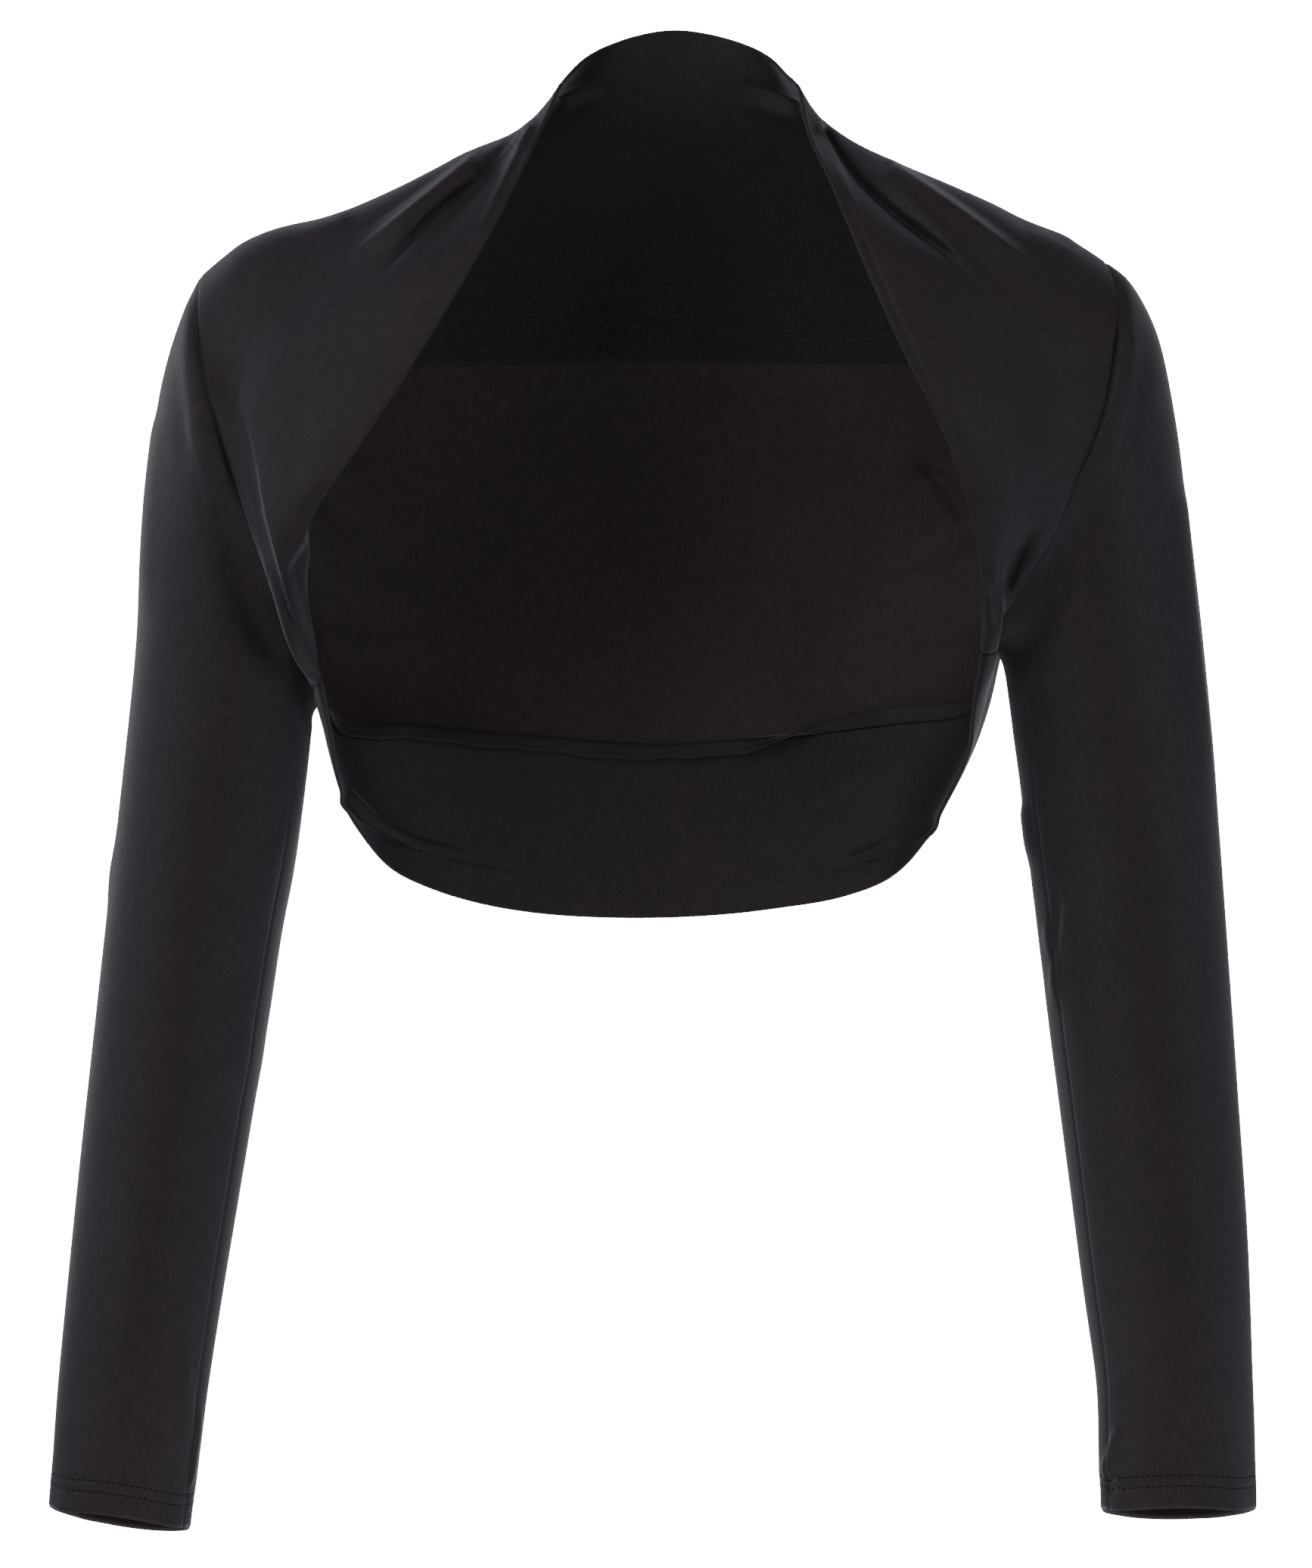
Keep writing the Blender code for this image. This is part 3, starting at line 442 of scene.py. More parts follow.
# ---- Fine grids: samples in each cell of the plain grids ----
EDGE_SAMPLES = (0.0, 0.03, 0.08, 0.15, 0.25, 0.37, 0.52, 0.68, 0.84)   # in the cell at a fold
SEAM_SAMPLES = (0.0, 0.05, 0.11, 0.18, 0.28, 0.42, 0.60, 0.80)         # in the cell at a seam
BAND_LEFT_ROWS = [6] * 3 + [8] * 4 + [6] * 5 + [15] * 7 + [5] * 12
BAND_RIGHT_ROWS = [6] * 3 + [12] * 6 + [8] * 3 + [15] * 7 + [5] * 12
BAND_COLUMNS = [9] + [6] * 9 + [4] * 5 + [8]
SHARP_COLUMNS = 2        # plain columns beside a band's seam over which its corners sharpen
HEM_ROW = 10
HEM_COLUMNS = [9] + [5] * 14 + [8]
PANEL_CELL = 7
SLEEVE_ROWS = [6] * 6 + [9] * 6 + [12] * 9 + [26]
SLEEVE_COLUMNS = [5] * 14 + [9] * 3 + [5] * 19

SLEEVES = ("sleeve_left", "sleeve_right")

# ---- Cloth and thread ----
NODE_STEP = 200          # distance between nodes in the editor
NODE_ROOM = 30           # how many have room to the left of the shader
# jersey: its darker yarn, its lighter yarn, the strength of its knit, and whether it has slubs
JERSEYS = {
    "jersey_single": ((0.0094, 0.0060, 0.0090), (0.0228, 0.0150, 0.0226), 0.34, False),
    # reverse face of the knit, with both yarn colours lighter than the outside's: painted fill
    # light for the inside faces of the back panel and sleeves, where little light reaches
    "jersey_single_reverse_painted_fill": ((0.0156, 0.0100, 0.0130), (0.0372, 0.0242, 0.0312), 0.34, False),
    "jersey_doubled": ((0.0094, 0.0060, 0.0090), (0.0228, 0.0150, 0.0226), 0.30, False),
    # darker copy of the doubled jersey for the upper band's inside faces: painted shade inside the
    # collar and down the back, on faces that are the same cloth as the outside
    "jersey_inside_collar_painted_shade": ((0.0066, 0.0046, 0.0068), (0.0168, 0.0120, 0.0176), 0.30, True),
}
JERSEY_SHADER = {
    "Metallic": 0.0, "Specular IOR Level": 0.24, "Sheen Weight": 0.25, "Sheen Roughness": 0.36,
    "Sheen Tint": (0.86, 0.88, 1.0, 1.0),
}
# noise on the cloth: scale across and down it, detail, roughness
WALES = (1500.0, 170.0, 2.0, 0.5)      # columns of uneven yarn
COURSES = (420.0, 1700.0, 1.0, 0.5)    # the rows across them
LOOPS = (1250.0, 1250.0, 2.0, 0.65)    # single loops
COURSE_SHARE = 0.35
LOOP_SHARE = 0.4
CLOUDS = (24.0, 3.0, 0.6)              # large soft mottling: scale, detail, roughness
BLOTCHES = (170.0, 3.0, 0.6)           # and smaller
BLOTCH_SHARE = 0.6
YARN_SHARE = 0.74                      # share of the knit in the mottling
COLOUR_STOPS = (0.38, 0.62)            # where the darker and the lighter yarn are reached
YARN_HEIGHTS = (0.3, 0.7)              # from the hollows to the crowns of the yarn
YARN_ROUGHNESS = (0.70, 0.56)          # which are a little smoother
KNIT_DEPTH = 0.0003                    # in metres
CLOUD_DEPTH = 0.0012
CLOUD_STRENGTH = 0.3
SLUB_SCALE = (95.0, 700.0)             # places for slubs in a metre, across and down
SLUB_SIZE = (0.11, 0.06)               # distance from a place at which its slub begins and is full
SLUB_COLOUR = (0.075, 0.070, 0.078, 1.0)
# axis, and places on it in metres over which the slubs begin
SLUB_LIMITS = (("Y", 0.035, 0.05), ("Z", -0.034, -0.026), ("Z", 0.008, 0.0))
# thread: colour, shine
THREADS = {
    "sewing_thread": ((0.0035, 0.0030, 0.0036), 0.04),
    "overlock_thread": ((0.030, 0.024, 0.028), 0.3),
}
THREAD_ROUGHNESS = 0.55
TWIST = (2400.0, 2.0, 0.5)             # noise of its plies: scale, detail, roughness
TWIST_SHADES = (0.75, 1.3)             # shares of its colour
TWIST_STRENGTH = 0.4
TWIST_DEPTH = 0.0001

# ---- Studio, in metres ----
WORLD_LIGHT = 0.17       # light from all round
BACKDROP_LIGHT = 17.0    # the same, where the camera looks past the garment
SENSOR = 36.0            # width of the camera's sensor, in millimetres
FLOOR_SIDES = 96
FLOOR_RADIUS = 0.46
FLOOR_PLACE = (0, 0.02, -0.72)
FLOOR_COLOUR = (0.86, 0.86, 0.87, 1.0)
FLOOR_ROUGHNESS = 0.7
WHITE = (1.0, 1.0, 1.0)
COOL = (0.90, 1.0, 1.08)
# name, place, aim, size, power, colour
LIGHTS = (
    ("left_softbox", (-1.7, -1.5, 0.5), (0.0, 0.0, -0.2), (1.0, 1.8), 19.0, WHITE),
    ("left_side_softbox", (-2.0, 0.1, 0.3), (0.0, 0.0, -0.2), (1.2, 2.0), 13.0, COOL),
    ("left_rim_softbox", (-1.5, 1.5, 0.4), (0.0, 0.0, -0.2), (1.2, 2.0), 10.0, WHITE),
    ("right_softbox", (1.7, -1.5, 0.5), (0.0, 0.0, -0.2), (1.0, 1.8), 15.5, WHITE),
    ("right_side_softbox", (1.7, 0.0, -0.9), (0.2, 0.0, -0.5), (1.2, 1.0), 8.0, COOL),
    ("right_rim_softbox", (1.5, 1.5, 0.4), (0.0, 0.0, -0.2), (1.2, 2.0), 1.6, WHITE),
    ("back_softbox", (0.4, 2.3, 0.0), (0.0, 0.0, -0.25), (1.6, 1.4), 13.0, WHITE),
    ("top_softbox", (-0.6, -1.5, 1.4), (-0.1, 0.0, -0.1), (1.0, 1.0), 9.5, WHITE),
    ("low_softbox", (0.0, -2.6, -1.1), (0.0, 0.0, -0.4), (2.0, 0.9), 6.5, WHITE),
    ("up_softbox", (0.05, -0.05, -0.70), (0.05, -0.049, 0.0), (0.8, 0.5), 1.0, WHITE),
)


def unit(vectors):
    length = np.linalg.norm(vectors, axis=-1, keepdims=True)
    return vectors / np.maximum(length, TINY)


def smooth_step(value, low, high):
    """Rises smoothly from 0 at low to 1 at high."""
    share = np.clip((value - low) / (high - low), 0, 1)
    return share * share * (3 - 2 * share)


def between(value, starts, ends):
    """Rises smoothly from 0 to 1 over one range, and falls again over another."""
    return smooth_step(value, *starts) * (1 - smooth_step(value, *ends))


def bulge(share):
    """0 at both ends of a run from 0 to 1, and 1 half way."""
    return 4 * share * (1 - share)


def ridge(distance, width):
    """1 on a line, falling off smoothly beside it."""
    return np.exp(-(distance / width) ** 2)


def waves(places, table):
    """Sum of even waves, from rows of their length over 2 pi and their height."""
    return sum(height * np.sin(places / length) for length, height in table)


# ---------------------------------------------------------------- curves
def hermite(along, start, leaving, end, arriving, span=1.0):
    """Curve from start to end with given slopes, read at shares along it. The slopes are for each
    unit of its span."""
    square = along * along
    cube = square * along
    return ((2 * cube - 3 * square + 1) * start + (cube - 2 * square + along) * span * leaving
            + (3 * square - 2 * cube) * end + (cube - square) * span * arriving)


def curve(places, values, wanted):
    """Smooth curve through values at rising places, read at the wanted places."""
    places, values, wanted = (np.asarray(part, float) for part in (places, values, wanted))
    shape = (-1,) + (1,) * (values.ndim - 1)
    spans = np.diff(places)
    spread = spans.reshape(shape)
    rates = np.diff(values, axis=0) / spread
    slopes = np.empty_like(values)
    slopes[1:-1] = (rates[:-1] * spread[1:] + rates[1:] * spread[:-1]) / (spread[1:] + spread[:-1])
    slopes[0] = 1.5 * rates[0] - 0.5 * slopes[1]
    slopes[-1] = 1.5 * rates[-1] - 0.5 * slopes[-2]
    cell = np.clip(np.searchsorted(places, wanted, side="right") - 1, 0, len(spans) - 1)
    along = ((wanted - places[cell]) / spans[cell]).reshape(shape)
    return hermite(along, values[cell], slopes[cell], values[cell + 1], slopes[cell + 1],
                   spread[cell])


def travelled(points):
    """Distance along a line of points, from its first one."""
    return np.concatenate([[0], np.cumsum(np.linalg.norm(np.diff(points, axis=0), axis=1))])


def read_line(wanted, places, points):
    """A line of points at given places, read straight at the wanted places."""
    return np.stack([np.interp(wanted, places, values) for values in points.T], axis=1)


def evenly(points, cells):
    """The same line of points, read again at equal distances."""
    distance = travelled(points)
    return read_line(np.linspace(0, distance[-1], cells + 1), distance, points)


def through(points):
    """Dense smooth line through a short list of points."""
    points = np.asarray(points, float)
    places = travelled(points) ** CURVE_CROWDING
    wanted = np.concatenate([
        np.linspace(start, end, CURVE_STEPS, endpoint=False)
        for start, end in zip(places[:-1], places[1:])
    ] + [places[-1:]])
    return curve(places, points, wanted)


# ---------------------------------------------------------------- the plain grids
def armhole(rows):
    """Points round an armhole seam, from the shoulder tip by the front, evenly on each half."""
    overlap = 3
    line = through(rows[-overlap:] + rows + rows[:overlap + 1])
    top, low, end = (CURVE_STEPS * (overlap + row) for row in (0, UNDERARM_ROW, len(rows)))
    front = evenly(line[top:low + 1], AROUND // 2)
    back = evenly(line[low:end + 1], AROUND // 2)
    return np.vstack([front[:-1], back[:-1]])


def across_back(rows, start, end):
    """A seam across the back, between a point of each armhole."""
    return evenly(through(np.vstack([start, np.array(rows, float), end])), BACK_CELLS)


def whole_band(left, back, right):
    """Rows of both sides as one run, with the right side's stations counted on past the middle."""
    middle = back[0][0]
    mirrored = [(2 * middle - row[0],) + tuple(row[1:]) for row in reversed(right)]
    return np.array(list(left) + list(back) + mirrored, float)


def band_surface(seam_line):
    """Outer face of the upper band: stations along it, and cells from its fold to its seam."""
    rows = whole_band(BAND_LEFT, BAND_BACK, BAND_RIGHT)
    stations = np.arange(len(seam_line)) + UNDERARM - BAR
    edge, crest, dip, crown, share = np.split(curve(rows[:, 0], rows[:, 1:], stations),
                                              (3, 6, 9, 10), axis=1)
    along = unit(np.gradient(edge, axis=0) + np.gradient(crest, axis=0))
    outward = unit(np.cross(crest - edge, along))
    middle = edge + (crest - edge) * share + outward * crown
    sections = np.stack([edge, middle, crest, dip, seam_line], axis=1)
    return np.array([cross_section(section) for section in sections])


def cross_section(knots):
    """Points across a band, with CROSS_CELLS cells between its knots."""
    places = travelled(knots) ** BAND_CROWDING
    wanted = [places[0]]
    for cell, count in enumerate(CROSS_CELLS):
        wanted.extend(np.linspace(places[cell], places[cell + 1], count + 1)[1:])
    return curve(places, knots, wanted)


def hem_surface(seam_line, first, last):
    """Outer face of the hem band, from its fold to its seam. It starts and ends on the upper
    band's own end sections, first and last."""
    rows = whole_band(HEM_LEFT, HEM_BACK, HEM_RIGHT)
    count = len(seam_line)
    edge, crown = np.split(curve(rows[:, 0], rows[:, 1:], np.arange(count)), (3,), axis=1)
    along = unit(np.gradient(edge, axis=0) + np.gradient(seam_line, axis=0))
    outward = unit(np.cross(along, seam_line - edge))
    even = np.linspace(0, 1, sum(CROSS_CELLS) + 1)
    surface = []
    for station in range(count):
        share = travelled(first if station < count / 2 else last)
        share = share / share[-1]
        to_even = smooth_step(min(station, count - 1 - station), 0, HEM_BLEND)
        share = (share * (1 - to_even) + even * to_even)[:, None]
        surface.append(edge[station] + (seam_line[station] - edge[station]) * share
                       + outward[station] * crown[station] * bulge(share))
    surface[0] = first
    surface[-1] = last
    return np.array(surface)


def panel_surface(top, bottom, left, right):
    """Outer face of the back panel, blended between its four seams and a little fuller inside."""
    across = np.linspace(0, 1, len(top))[:, None, None]
    down = np.linspace(0, 1, len(left))[None, :, None]
    surface = top[:, None] * (1 - down) + bottom[:, None] * down
    left_bow = left[None] - surface[:1]
    right_bow = right[None] - surface[-1:]
    surface = surface + left_bow * (1 - across) ** SIDE_FADE + right_bow * across ** SIDE_FADE
    return surface + TO_BACK * BACK_FULLNESS * (bulge(across) * bulge(down))


def sleeve_surface(ring, rows):
    """Outer face of a sleeve: rings from the armhole to the cuff."""
    angle = np.arange(AROUND) * 2 * np.pi / AROUND
    reach = np.cos(angle)
    side = -np.sin(angle)
    rings = [ring]
    outward = np.sign(rows[0][0])
    for number, row in enumerate(rows):
        outer_x, outer_z, inner_x, inner_z, centre, front, behind, bow_front, bow_behind = row
        tilt = CUFF_TILT * smooth_step(number, *TILT_ROWS)
        depth = np.where(side < 0, front, behind)
        bow = np.where(side < 0, bow_front, bow_behind)
        x = (outer_x + inner_x) / 2 + (outer_x - inner_x) / 2 * reach + outward * bow * side ** 2
        y = centre + depth * side
        z = (outer_z + inner_z) / 2 + (outer_z - inner_z) / 2 * reach - tilt * depth * side
        rings.append(np.stack([x, y, z], axis=1))
    rings = np.array(rings)
    places = travelled(rings.mean(axis=1))
    wanted = places[-1] * np.linspace(0, 1, SLEEVE_CELLS + 1) ** SLEEVE_CROWDING
    return curve(places, rings, wanted)


def fold_height(surface):
    """How far the folds lift each point of the upper band."""
    x, y, z = np.moveaxis(surface, -1, 0)
    total = np.zeros(x.shape)
    for fold in FRONT_FOLDS:
        height, half_width, depth = fold[6:]
        line = through(np.reshape(fold[:6], (3, 2)))
        gaps = np.hypot(x[..., None] - line[:, 0], z[..., None] - line[:, 1])
        along = gaps.argmin(axis=-1) / (len(line) - 1)
        lasting = 1 - (1 - FOLD_END) * smooth_step(along, FOLD_FADES, 1)
        in_front = 1 - smooth_step(y, depth - FOLD_SIDE, depth + FOLD_SIDE)
        total += height * ridge(gaps.min(axis=-1), half_width) * lasting * in_front
    return total * smooth_step(np.arange(x.shape[1])[::-1], 0, SEAM_FADE)


def face_out(surface, closed, flip):
    """Unit directions pointing out of a grid surface."""
    if closed:
        across = np.roll(surface, -1, axis=1) - np.roll(surface, 1, axis=1)
    else:
        across = np.gradient(surface, axis=1)
    outward = unit(np.cross(across, np.gradient(surface, axis=0)))
    return -outward if flip else outward


def plain_grids():
    """The plain grids of the frame: seams, then each piece's outer face."""
    left = armhole(ARMHOLE_LEFT)
    right = armhole(ARMHOLE_RIGHT)
    yoke = across_back(YOKE_SEAM, left[YOKE_END], right[YOKE_END])
    lower = across_back(LOWER_SEAM, left[HEM_END], right[HEM_END])
    up_front = [place % AROUND for place in range(BAR, YOKE_END - AROUND - 1, -1)]
    under_arm = list(range(BAR, HEM_END + 1))
    down_back = list(range(YOKE_END, HEM_END - 1, -1))
    band_seam = np.vstack([left[up_front], yoke[1:-1], right[up_front[::-1]]])
    hem_seam = np.vstack([left[under_arm], lower[1:-1], right[under_arm[::-1]]])
    band = band_surface(band_seam)
    band += face_out(band, False, False) * fold_height(band)[..., None]
    return {
        "upper_band": band,
        "hem_band": hem_surface(hem_seam, band[0], band[-1]),
        "back_panel": panel_surface(yoke, lower, left[down_back], right[down_back]),
        "sleeve_left": sleeve_surface(left, SLEEVE_LEFT),
        "sleeve_right": sleeve_surface(right, SLEEVE_RIGHT),
    }


# ---------------------------------------------------------------- fine grids
def samples(per_cell, at_start=None, at_end=None):
    """Places at which a plain grid is read again, given the samples in each of its cells."""
    places = []
    last = len(per_cell) - 1
    for cell, count in enumerate(per_cell):
        shares = np.arange(count) / count
        if cell == 0 and at_start:
            shares = at_start
        elif cell == last and at_end:
            shares = [0.0] + [1 - share for share in reversed(at_end[1:])]
        places.extend(cell + share for share in shares)
    return np.array(places + [len(per_cell)], float)


def spline(values, wanted, closed=False):
    """Line of even bending through values at 0, 1, 2 and so on, read at the wanted places."""
    count = len(values)
    flat = values.reshape(count, -1)
    system = np.zeros((count, count))
    target = np.zeros_like(flat)
    for row in range(count):
        before = row - 1 if closed else max(row - 1, 0)
        after = (row + 1) % count if closed else min(row + 1, count - 1)
        system[row, row] += 4 if closed or 0 < row < count - 1 else 2
        for beside in (before, after):
            if beside != row:
                system[row, beside] += 1
        target[row] = 3 * (flat[after] - flat[before])
    slopes = np.linalg.solve(system, target)
    cell = np.floor(wanted).astype(int)
    if not closed:
        cell = np.minimum(cell, count - 2)
    start = cell % count
    end = (cell + 1) % count
    line = hermite((wanted - cell)[:, None], flat[start], slopes[start], flat[end], slopes[end])
    return line.reshape((len(wanted),) + values.shape[1:])


def spline_with_corners(values, wanted, corners):
    """The same, but free to turn sharply at the corners."""
    stops = [0] + list(corners) + [len(values) - 1]
    parts = []
    for start, end in zip(stops[:-1], stops[1:]):
        inside = (wanted >= start) & ((wanted < end) | (end == stops[-1]))
        parts.append(spline(values[start:end + 1], wanted[inside] - start))
    return np.concatenate(parts)


def fine_surface(plain, rows, columns, closed=False, corners=()):
    """A plain grid read again on fine rows and columns. Its last column may have corners."""
    surface = spline(plain, rows)
    if corners:
        cornered = spline_with_corners(plain, rows, corners)
        last = plain.shape[1] - 1
        share = smooth_step(np.arange(last + 1), last - SHARP_COLUMNS, last)[:, None]
        surface = surface * (1 - share) + cornered * share
    return spline(surface.swapaxes(0, 1), columns, closed).swapaxes(0, 1)


def square_up(surface, places, columns, turned, fade, starts, ends, box, limit):
    """Turn the rows of part of a grid so that they meet its last column squarely.

    Beyond the turned column the surface is drawn again, as an even curve to the last one.
    """
    rows = np.arange(len(surface))
    inside = between(places, starts, ends)
    gap = np.linalg.norm(surface[:, None, -1] - surface[None, :, turned], axis=2)
    turn = np.where(inside > 0, np.clip(gap.argmin(axis=1) - rows, -limit, limit), 0.0)
    box = np.ones(box) / box
    turn = np.convolve(np.convolve(turn, box, "same"), box, "same") * inside
    share = smooth_step(np.arange(surface.shape[1]), fade, turned)
    new = surface.copy()
    for column in range(fade, turned + 1):
        new[:, column] = spline(surface[:, column], rows + turn * share[column])
    start = new[:, turned]
    end = surface[:, -1]
    leaving = unit(start - new[:, turned - 1]) * np.linalg.norm(end - start, axis=1)[:, None]
    for column in range(turned + 1, surface.shape[1]):
        along = (columns[column] - columns[turned]) / (columns[-1] - columns[turned])
        drawn = hermite(along, start, leaving, end, end - start)
        new[:, column] = surface[:, column] * (1 - inside[:, None]) + drawn * inside[:, None]
    return new


# ---------------------------------------------------------------- lines and creases
def as_seen(points):
    """x and z of points as the camera sees them, at the scale of the shoulder line."""
    scale = 1 + points[..., 1] / VIEW_DISTANCE
    return np.stack([points[..., 0] / scale, VIEW_HEIGHT + (points[..., 2] - VIEW_HEIGHT) / scale],
                    axis=-1)


def nearest_on(points, line):
    """Distance of points from a line, its nearest step, the share of that step passed there, the
    way from there to the point, and the step itself."""
    steps = np.diff(line, axis=0)
    away = points[:, None] - line[:-1]
    share = (away * steps).sum(axis=2) / np.maximum((steps ** 2).sum(axis=1), TINY)
    share = np.clip(share, 0, 1)
    away = away - share[..., None] * steps
    gap = np.linalg.norm(away, axis=2)
    nearest = gap.argmin(axis=1)
    here = np.arange(len(points)), nearest
    return gap[here], nearest, share[here], away[here], steps[nearest]


def crease_lift(surface, outward, creases):
    """How far the creases lift each point of a surface: outwards, or straight to the camera."""
    seen = as_seen(surface)
    facing = {"front": 1 - smooth_step(outward[..., 1], *FACING_FRONT),
              "back": smooth_step(outward[..., 1], *FACING_BACK),
              "flat": 1 - smooth_step(outward[..., 1], *FACING_CAMERA)}
    out, flat = np.zeros((2,) + seen.shape[:2])
    for side, rows in creases.items():
        total = flat if side == "flat" else out
        for row in rows:
            points = np.reshape(row[:6], (3, 2))
            height, left, right, rise, fall = row[6:]
            reach = CREASE_REACH * max(left, right)
            near = ((seen > points.min(axis=0) - reach)
                    & (seen < points.max(axis=0) + reach)).all(axis=-1)
            line = through(points)[::CREASE_EVERY]
            gap, nearest, share, away, step = nearest_on(seen[near], line)
            along = (nearest + share) / (len(line) - 1)
            on_left = step[:, 0] * away[:, 1] > step[:, 1] * away[:, 0]
            total[near] += (height * ridge(gap, np.where(on_left, left, right))
                            * between(along, (0, rise), (1 - fall, 1)) * facing[side][near])
    return outward * out[..., None] - TO_BACK * flat[..., None]


def outside(x, z, start, end):
    """Distance to the right of a straight line, as one walks along it."""
    step_x = end[0] - start[0]
    step_z = end[1] - start[1]
    return (step_x * (start[1] - z) - step_z * (start[0] - x)) / math.hypot(step_x, step_z)


def step_in(distance):
    """0 up to a line of the folded corner, then quickly 1 beyond it."""
    return 1 - np.exp(-np.maximum(distance, 0) / CORNER_STEP)


# ---------------------------------------------------------------- cloth
def run(surface, axis):
    """Distance from the first row or column of a grid, along it."""
    steps = np.linalg.norm(np.diff(surface, axis=axis), axis=2)
    start = np.zeros_like(steps[:1] if axis == 0 else steps[:, :1])
    return np.concatenate([start, np.cumsum(steps, axis=axis)], axis=axis)


def from_edge(surface, side, closed):
    """Distance of each point of a grid from one of its edges, straight across."""
    grid = surface.swapaxes(0, 1) if side in ("first", "last") else surface
    edge = grid[:, -1 if side in ("last", "high") else 0]
    best = np.full(grid.shape[:2], np.inf)
    number = np.arange(len(edge))
    for step in range(-EDGE_REACH, EDGE_REACH + 1):
        beside = (number + step) % len(edge) if closed else np.clip(number + step, 0, len(edge) - 1)
        best = np.minimum(best, np.linalg.norm(grid - edge[beside][:, None], axis=2))
    return best.T if side in ("first", "last") else best


def edge_lines(side, grid):
    """One edge of a grid and the line next to it."""
    return {"first": (grid[0], grid[1]), "last": (grid[-1], grid[-2]),
            "low": (grid[:, 0], grid[:, 1]), "high": (grid[:, -1], grid[:, -2])}[side]


def spread(side, values):
    """Values along one edge, carried over the whole grid."""
    return values[None] if side in ("first", "last") else values[:, None]


class Cloth:
    """One piece of cloth on a fine grid, with its sewn and folded edges."""

    def __init__(self, name, surface, thickness, sewn, folded, closed=False, flip=False):
        self.name = name
        self.surface = surface
        self.thickness = thickness
        self.sewn = sewn
        self.folded = folded
        self.closed = closed
        self.flip = flip
        self.turn()
        down = run(surface, 0)
        across = run(surface, 1)
        self.away = {"first": down, "last": down[-1:] - down, "low": across,
                     "high": across[:, -1:] - across}
        for side in sewn:
            self.away[side] = from_edge(surface, side, closed)
        self.weights = {side: 1 - smooth_step(self.away[side], 0, SEAM_WIDTH) for side in sewn}

    def turn(self):
        """Read the directions that face out of the surface."""
        self.outward = face_out(self.surface, self.closed, self.flip)

    def move(self, change):
        """Move the surface, and read its directions again."""
        self.surface = self.surface + change
        self.turn()

    def beside_seam(self, reach):
        """1 away from the seams, falling to 0 at them over that reach."""
        share = np.ones(self.surface.shape[:2])
        for side in self.sewn:
            share = share * smooth_step(self.away[side], 0, reach)
        return share


def make_cloths():
    """The five pieces on fine grids, before their creases."""
    plain = plain_grids()
    seam, fold = SEAM_SAMPLES, EDGE_SAMPLES
    last = len(plain["upper_band"]) - 1
    turn = (BAR - YOKE_END) % AROUND
    rows = samples(BAND_LEFT_ROWS + BAND_RIGHT_ROWS[::-1], seam, seam)
    columns = samples(BAND_COLUMNS, fold, seam)
    band = fine_surface(plain["upper_band"], rows, columns, corners=(turn, last - turn))
    band = square_up(band, rows, columns, **BAND_TURN)

    last = len(plain["hem_band"]) - 1
    bend = HEM_END - BAR
    hem = fine_surface(plain["hem_band"], samples([HEM_ROW] * last, seam, seam),
                       samples(HEM_COLUMNS, fold, seam), corners=(bend, last - bend))

    panel = plain["back_panel"]
    panel = fine_surface(panel, *(samples([PANEL_CELL] * (count - 1), seam, seam)
                                  for count in panel.shape[:2]))

    cloths = {
        "upper_band": Cloth("upper_band", band, SHOWN_DOUBLE, ("first", "last", "high"), ("low",)),
        "hem_band": Cloth("hem_band", hem, SHOWN_DOUBLE, ("first", "last", "high"), ("low",),
                          flip=True),
        "back_panel": Cloth("back_panel", panel, SHOWN_SINGLE, ("first", "last", "low", "high"),
                            ()),
    }
    around = samples(SLEEVE_COLUMNS)[:-1]
    for name in SLEEVES:
        sleeve = fine_surface(plain[name], samples(SLEEVE_ROWS, seam), around, closed=True)
        cloths[name] = Cloth(name, sleeve, SHOWN_SINGLE, ("first",), ("last",), closed=True,
                             flip=name == "sleeve_right")
    return cloths, around


def tuck_corner(cloth):
    """Set the cloth back beside the folded corner of the front and in the strip below it."""
    x, z = np.moveaxis(as_seen(cloth.surface), -1, 0)
    beside = outside(x, z, *CORNER_SIDE[:2])
    for start, end in zip(CORNER_SIDE[1:-1], CORNER_SIDE[2:]):
        beside = np.where(z <= start[1], outside(x, z, start, end), beside)
    to_seam = cloth.away["high"]
    share = to_seam / (to_seam + np.maximum(beside, 0) + NO_GAP)
    valley = VALLEY_DEPTH * share ** 2 * step_in(beside) * between(-z, VALLEY_STARTS, VALLEY_ENDS)
    inwards = np.clip(-beside, 0, STRIP_WIDTH)
    strip = (STRIP_DEPTH + STRIP_SLOPE * inwards) * smooth_step(inwards, 0, STRIP_STEP)
    strip = (strip * step_in(outside(x, z, CORNER_SIDE[-1], CORNER_EDGE))
             * (1 - smooth_step(-z, *STRIP_ENDS)))
    here = (x < CORNER_EDGE[0] + CORNER_REACH) & (cloth.surface[..., 1] < CORNER_BACK)
    depth = (valley + strip) * here * cloth.beside_seam(CORNER_SEAM_FADE)
    cloth.move(TO_BACK * depth[..., None])


def roll_edge(cloth):
    """Press a shallow line into the wearer's left front beside its folded edge."""
    x, z = np.moveaxis(as_seen(cloth.surface), -1, 0)
    in_front = (x > 0) & (cloth.outward[..., 1] < ROLL_FACING)
    depth = ROLL_DEPTH * ridge(cloth.away["low"] - ROLL_PLACE, ROLL_WIDTH)
    depth = depth * between(z, ROLL_STARTS, ROLL_ENDS) * in_front
    cloth.move(-cloth.outward * depth[..., None])


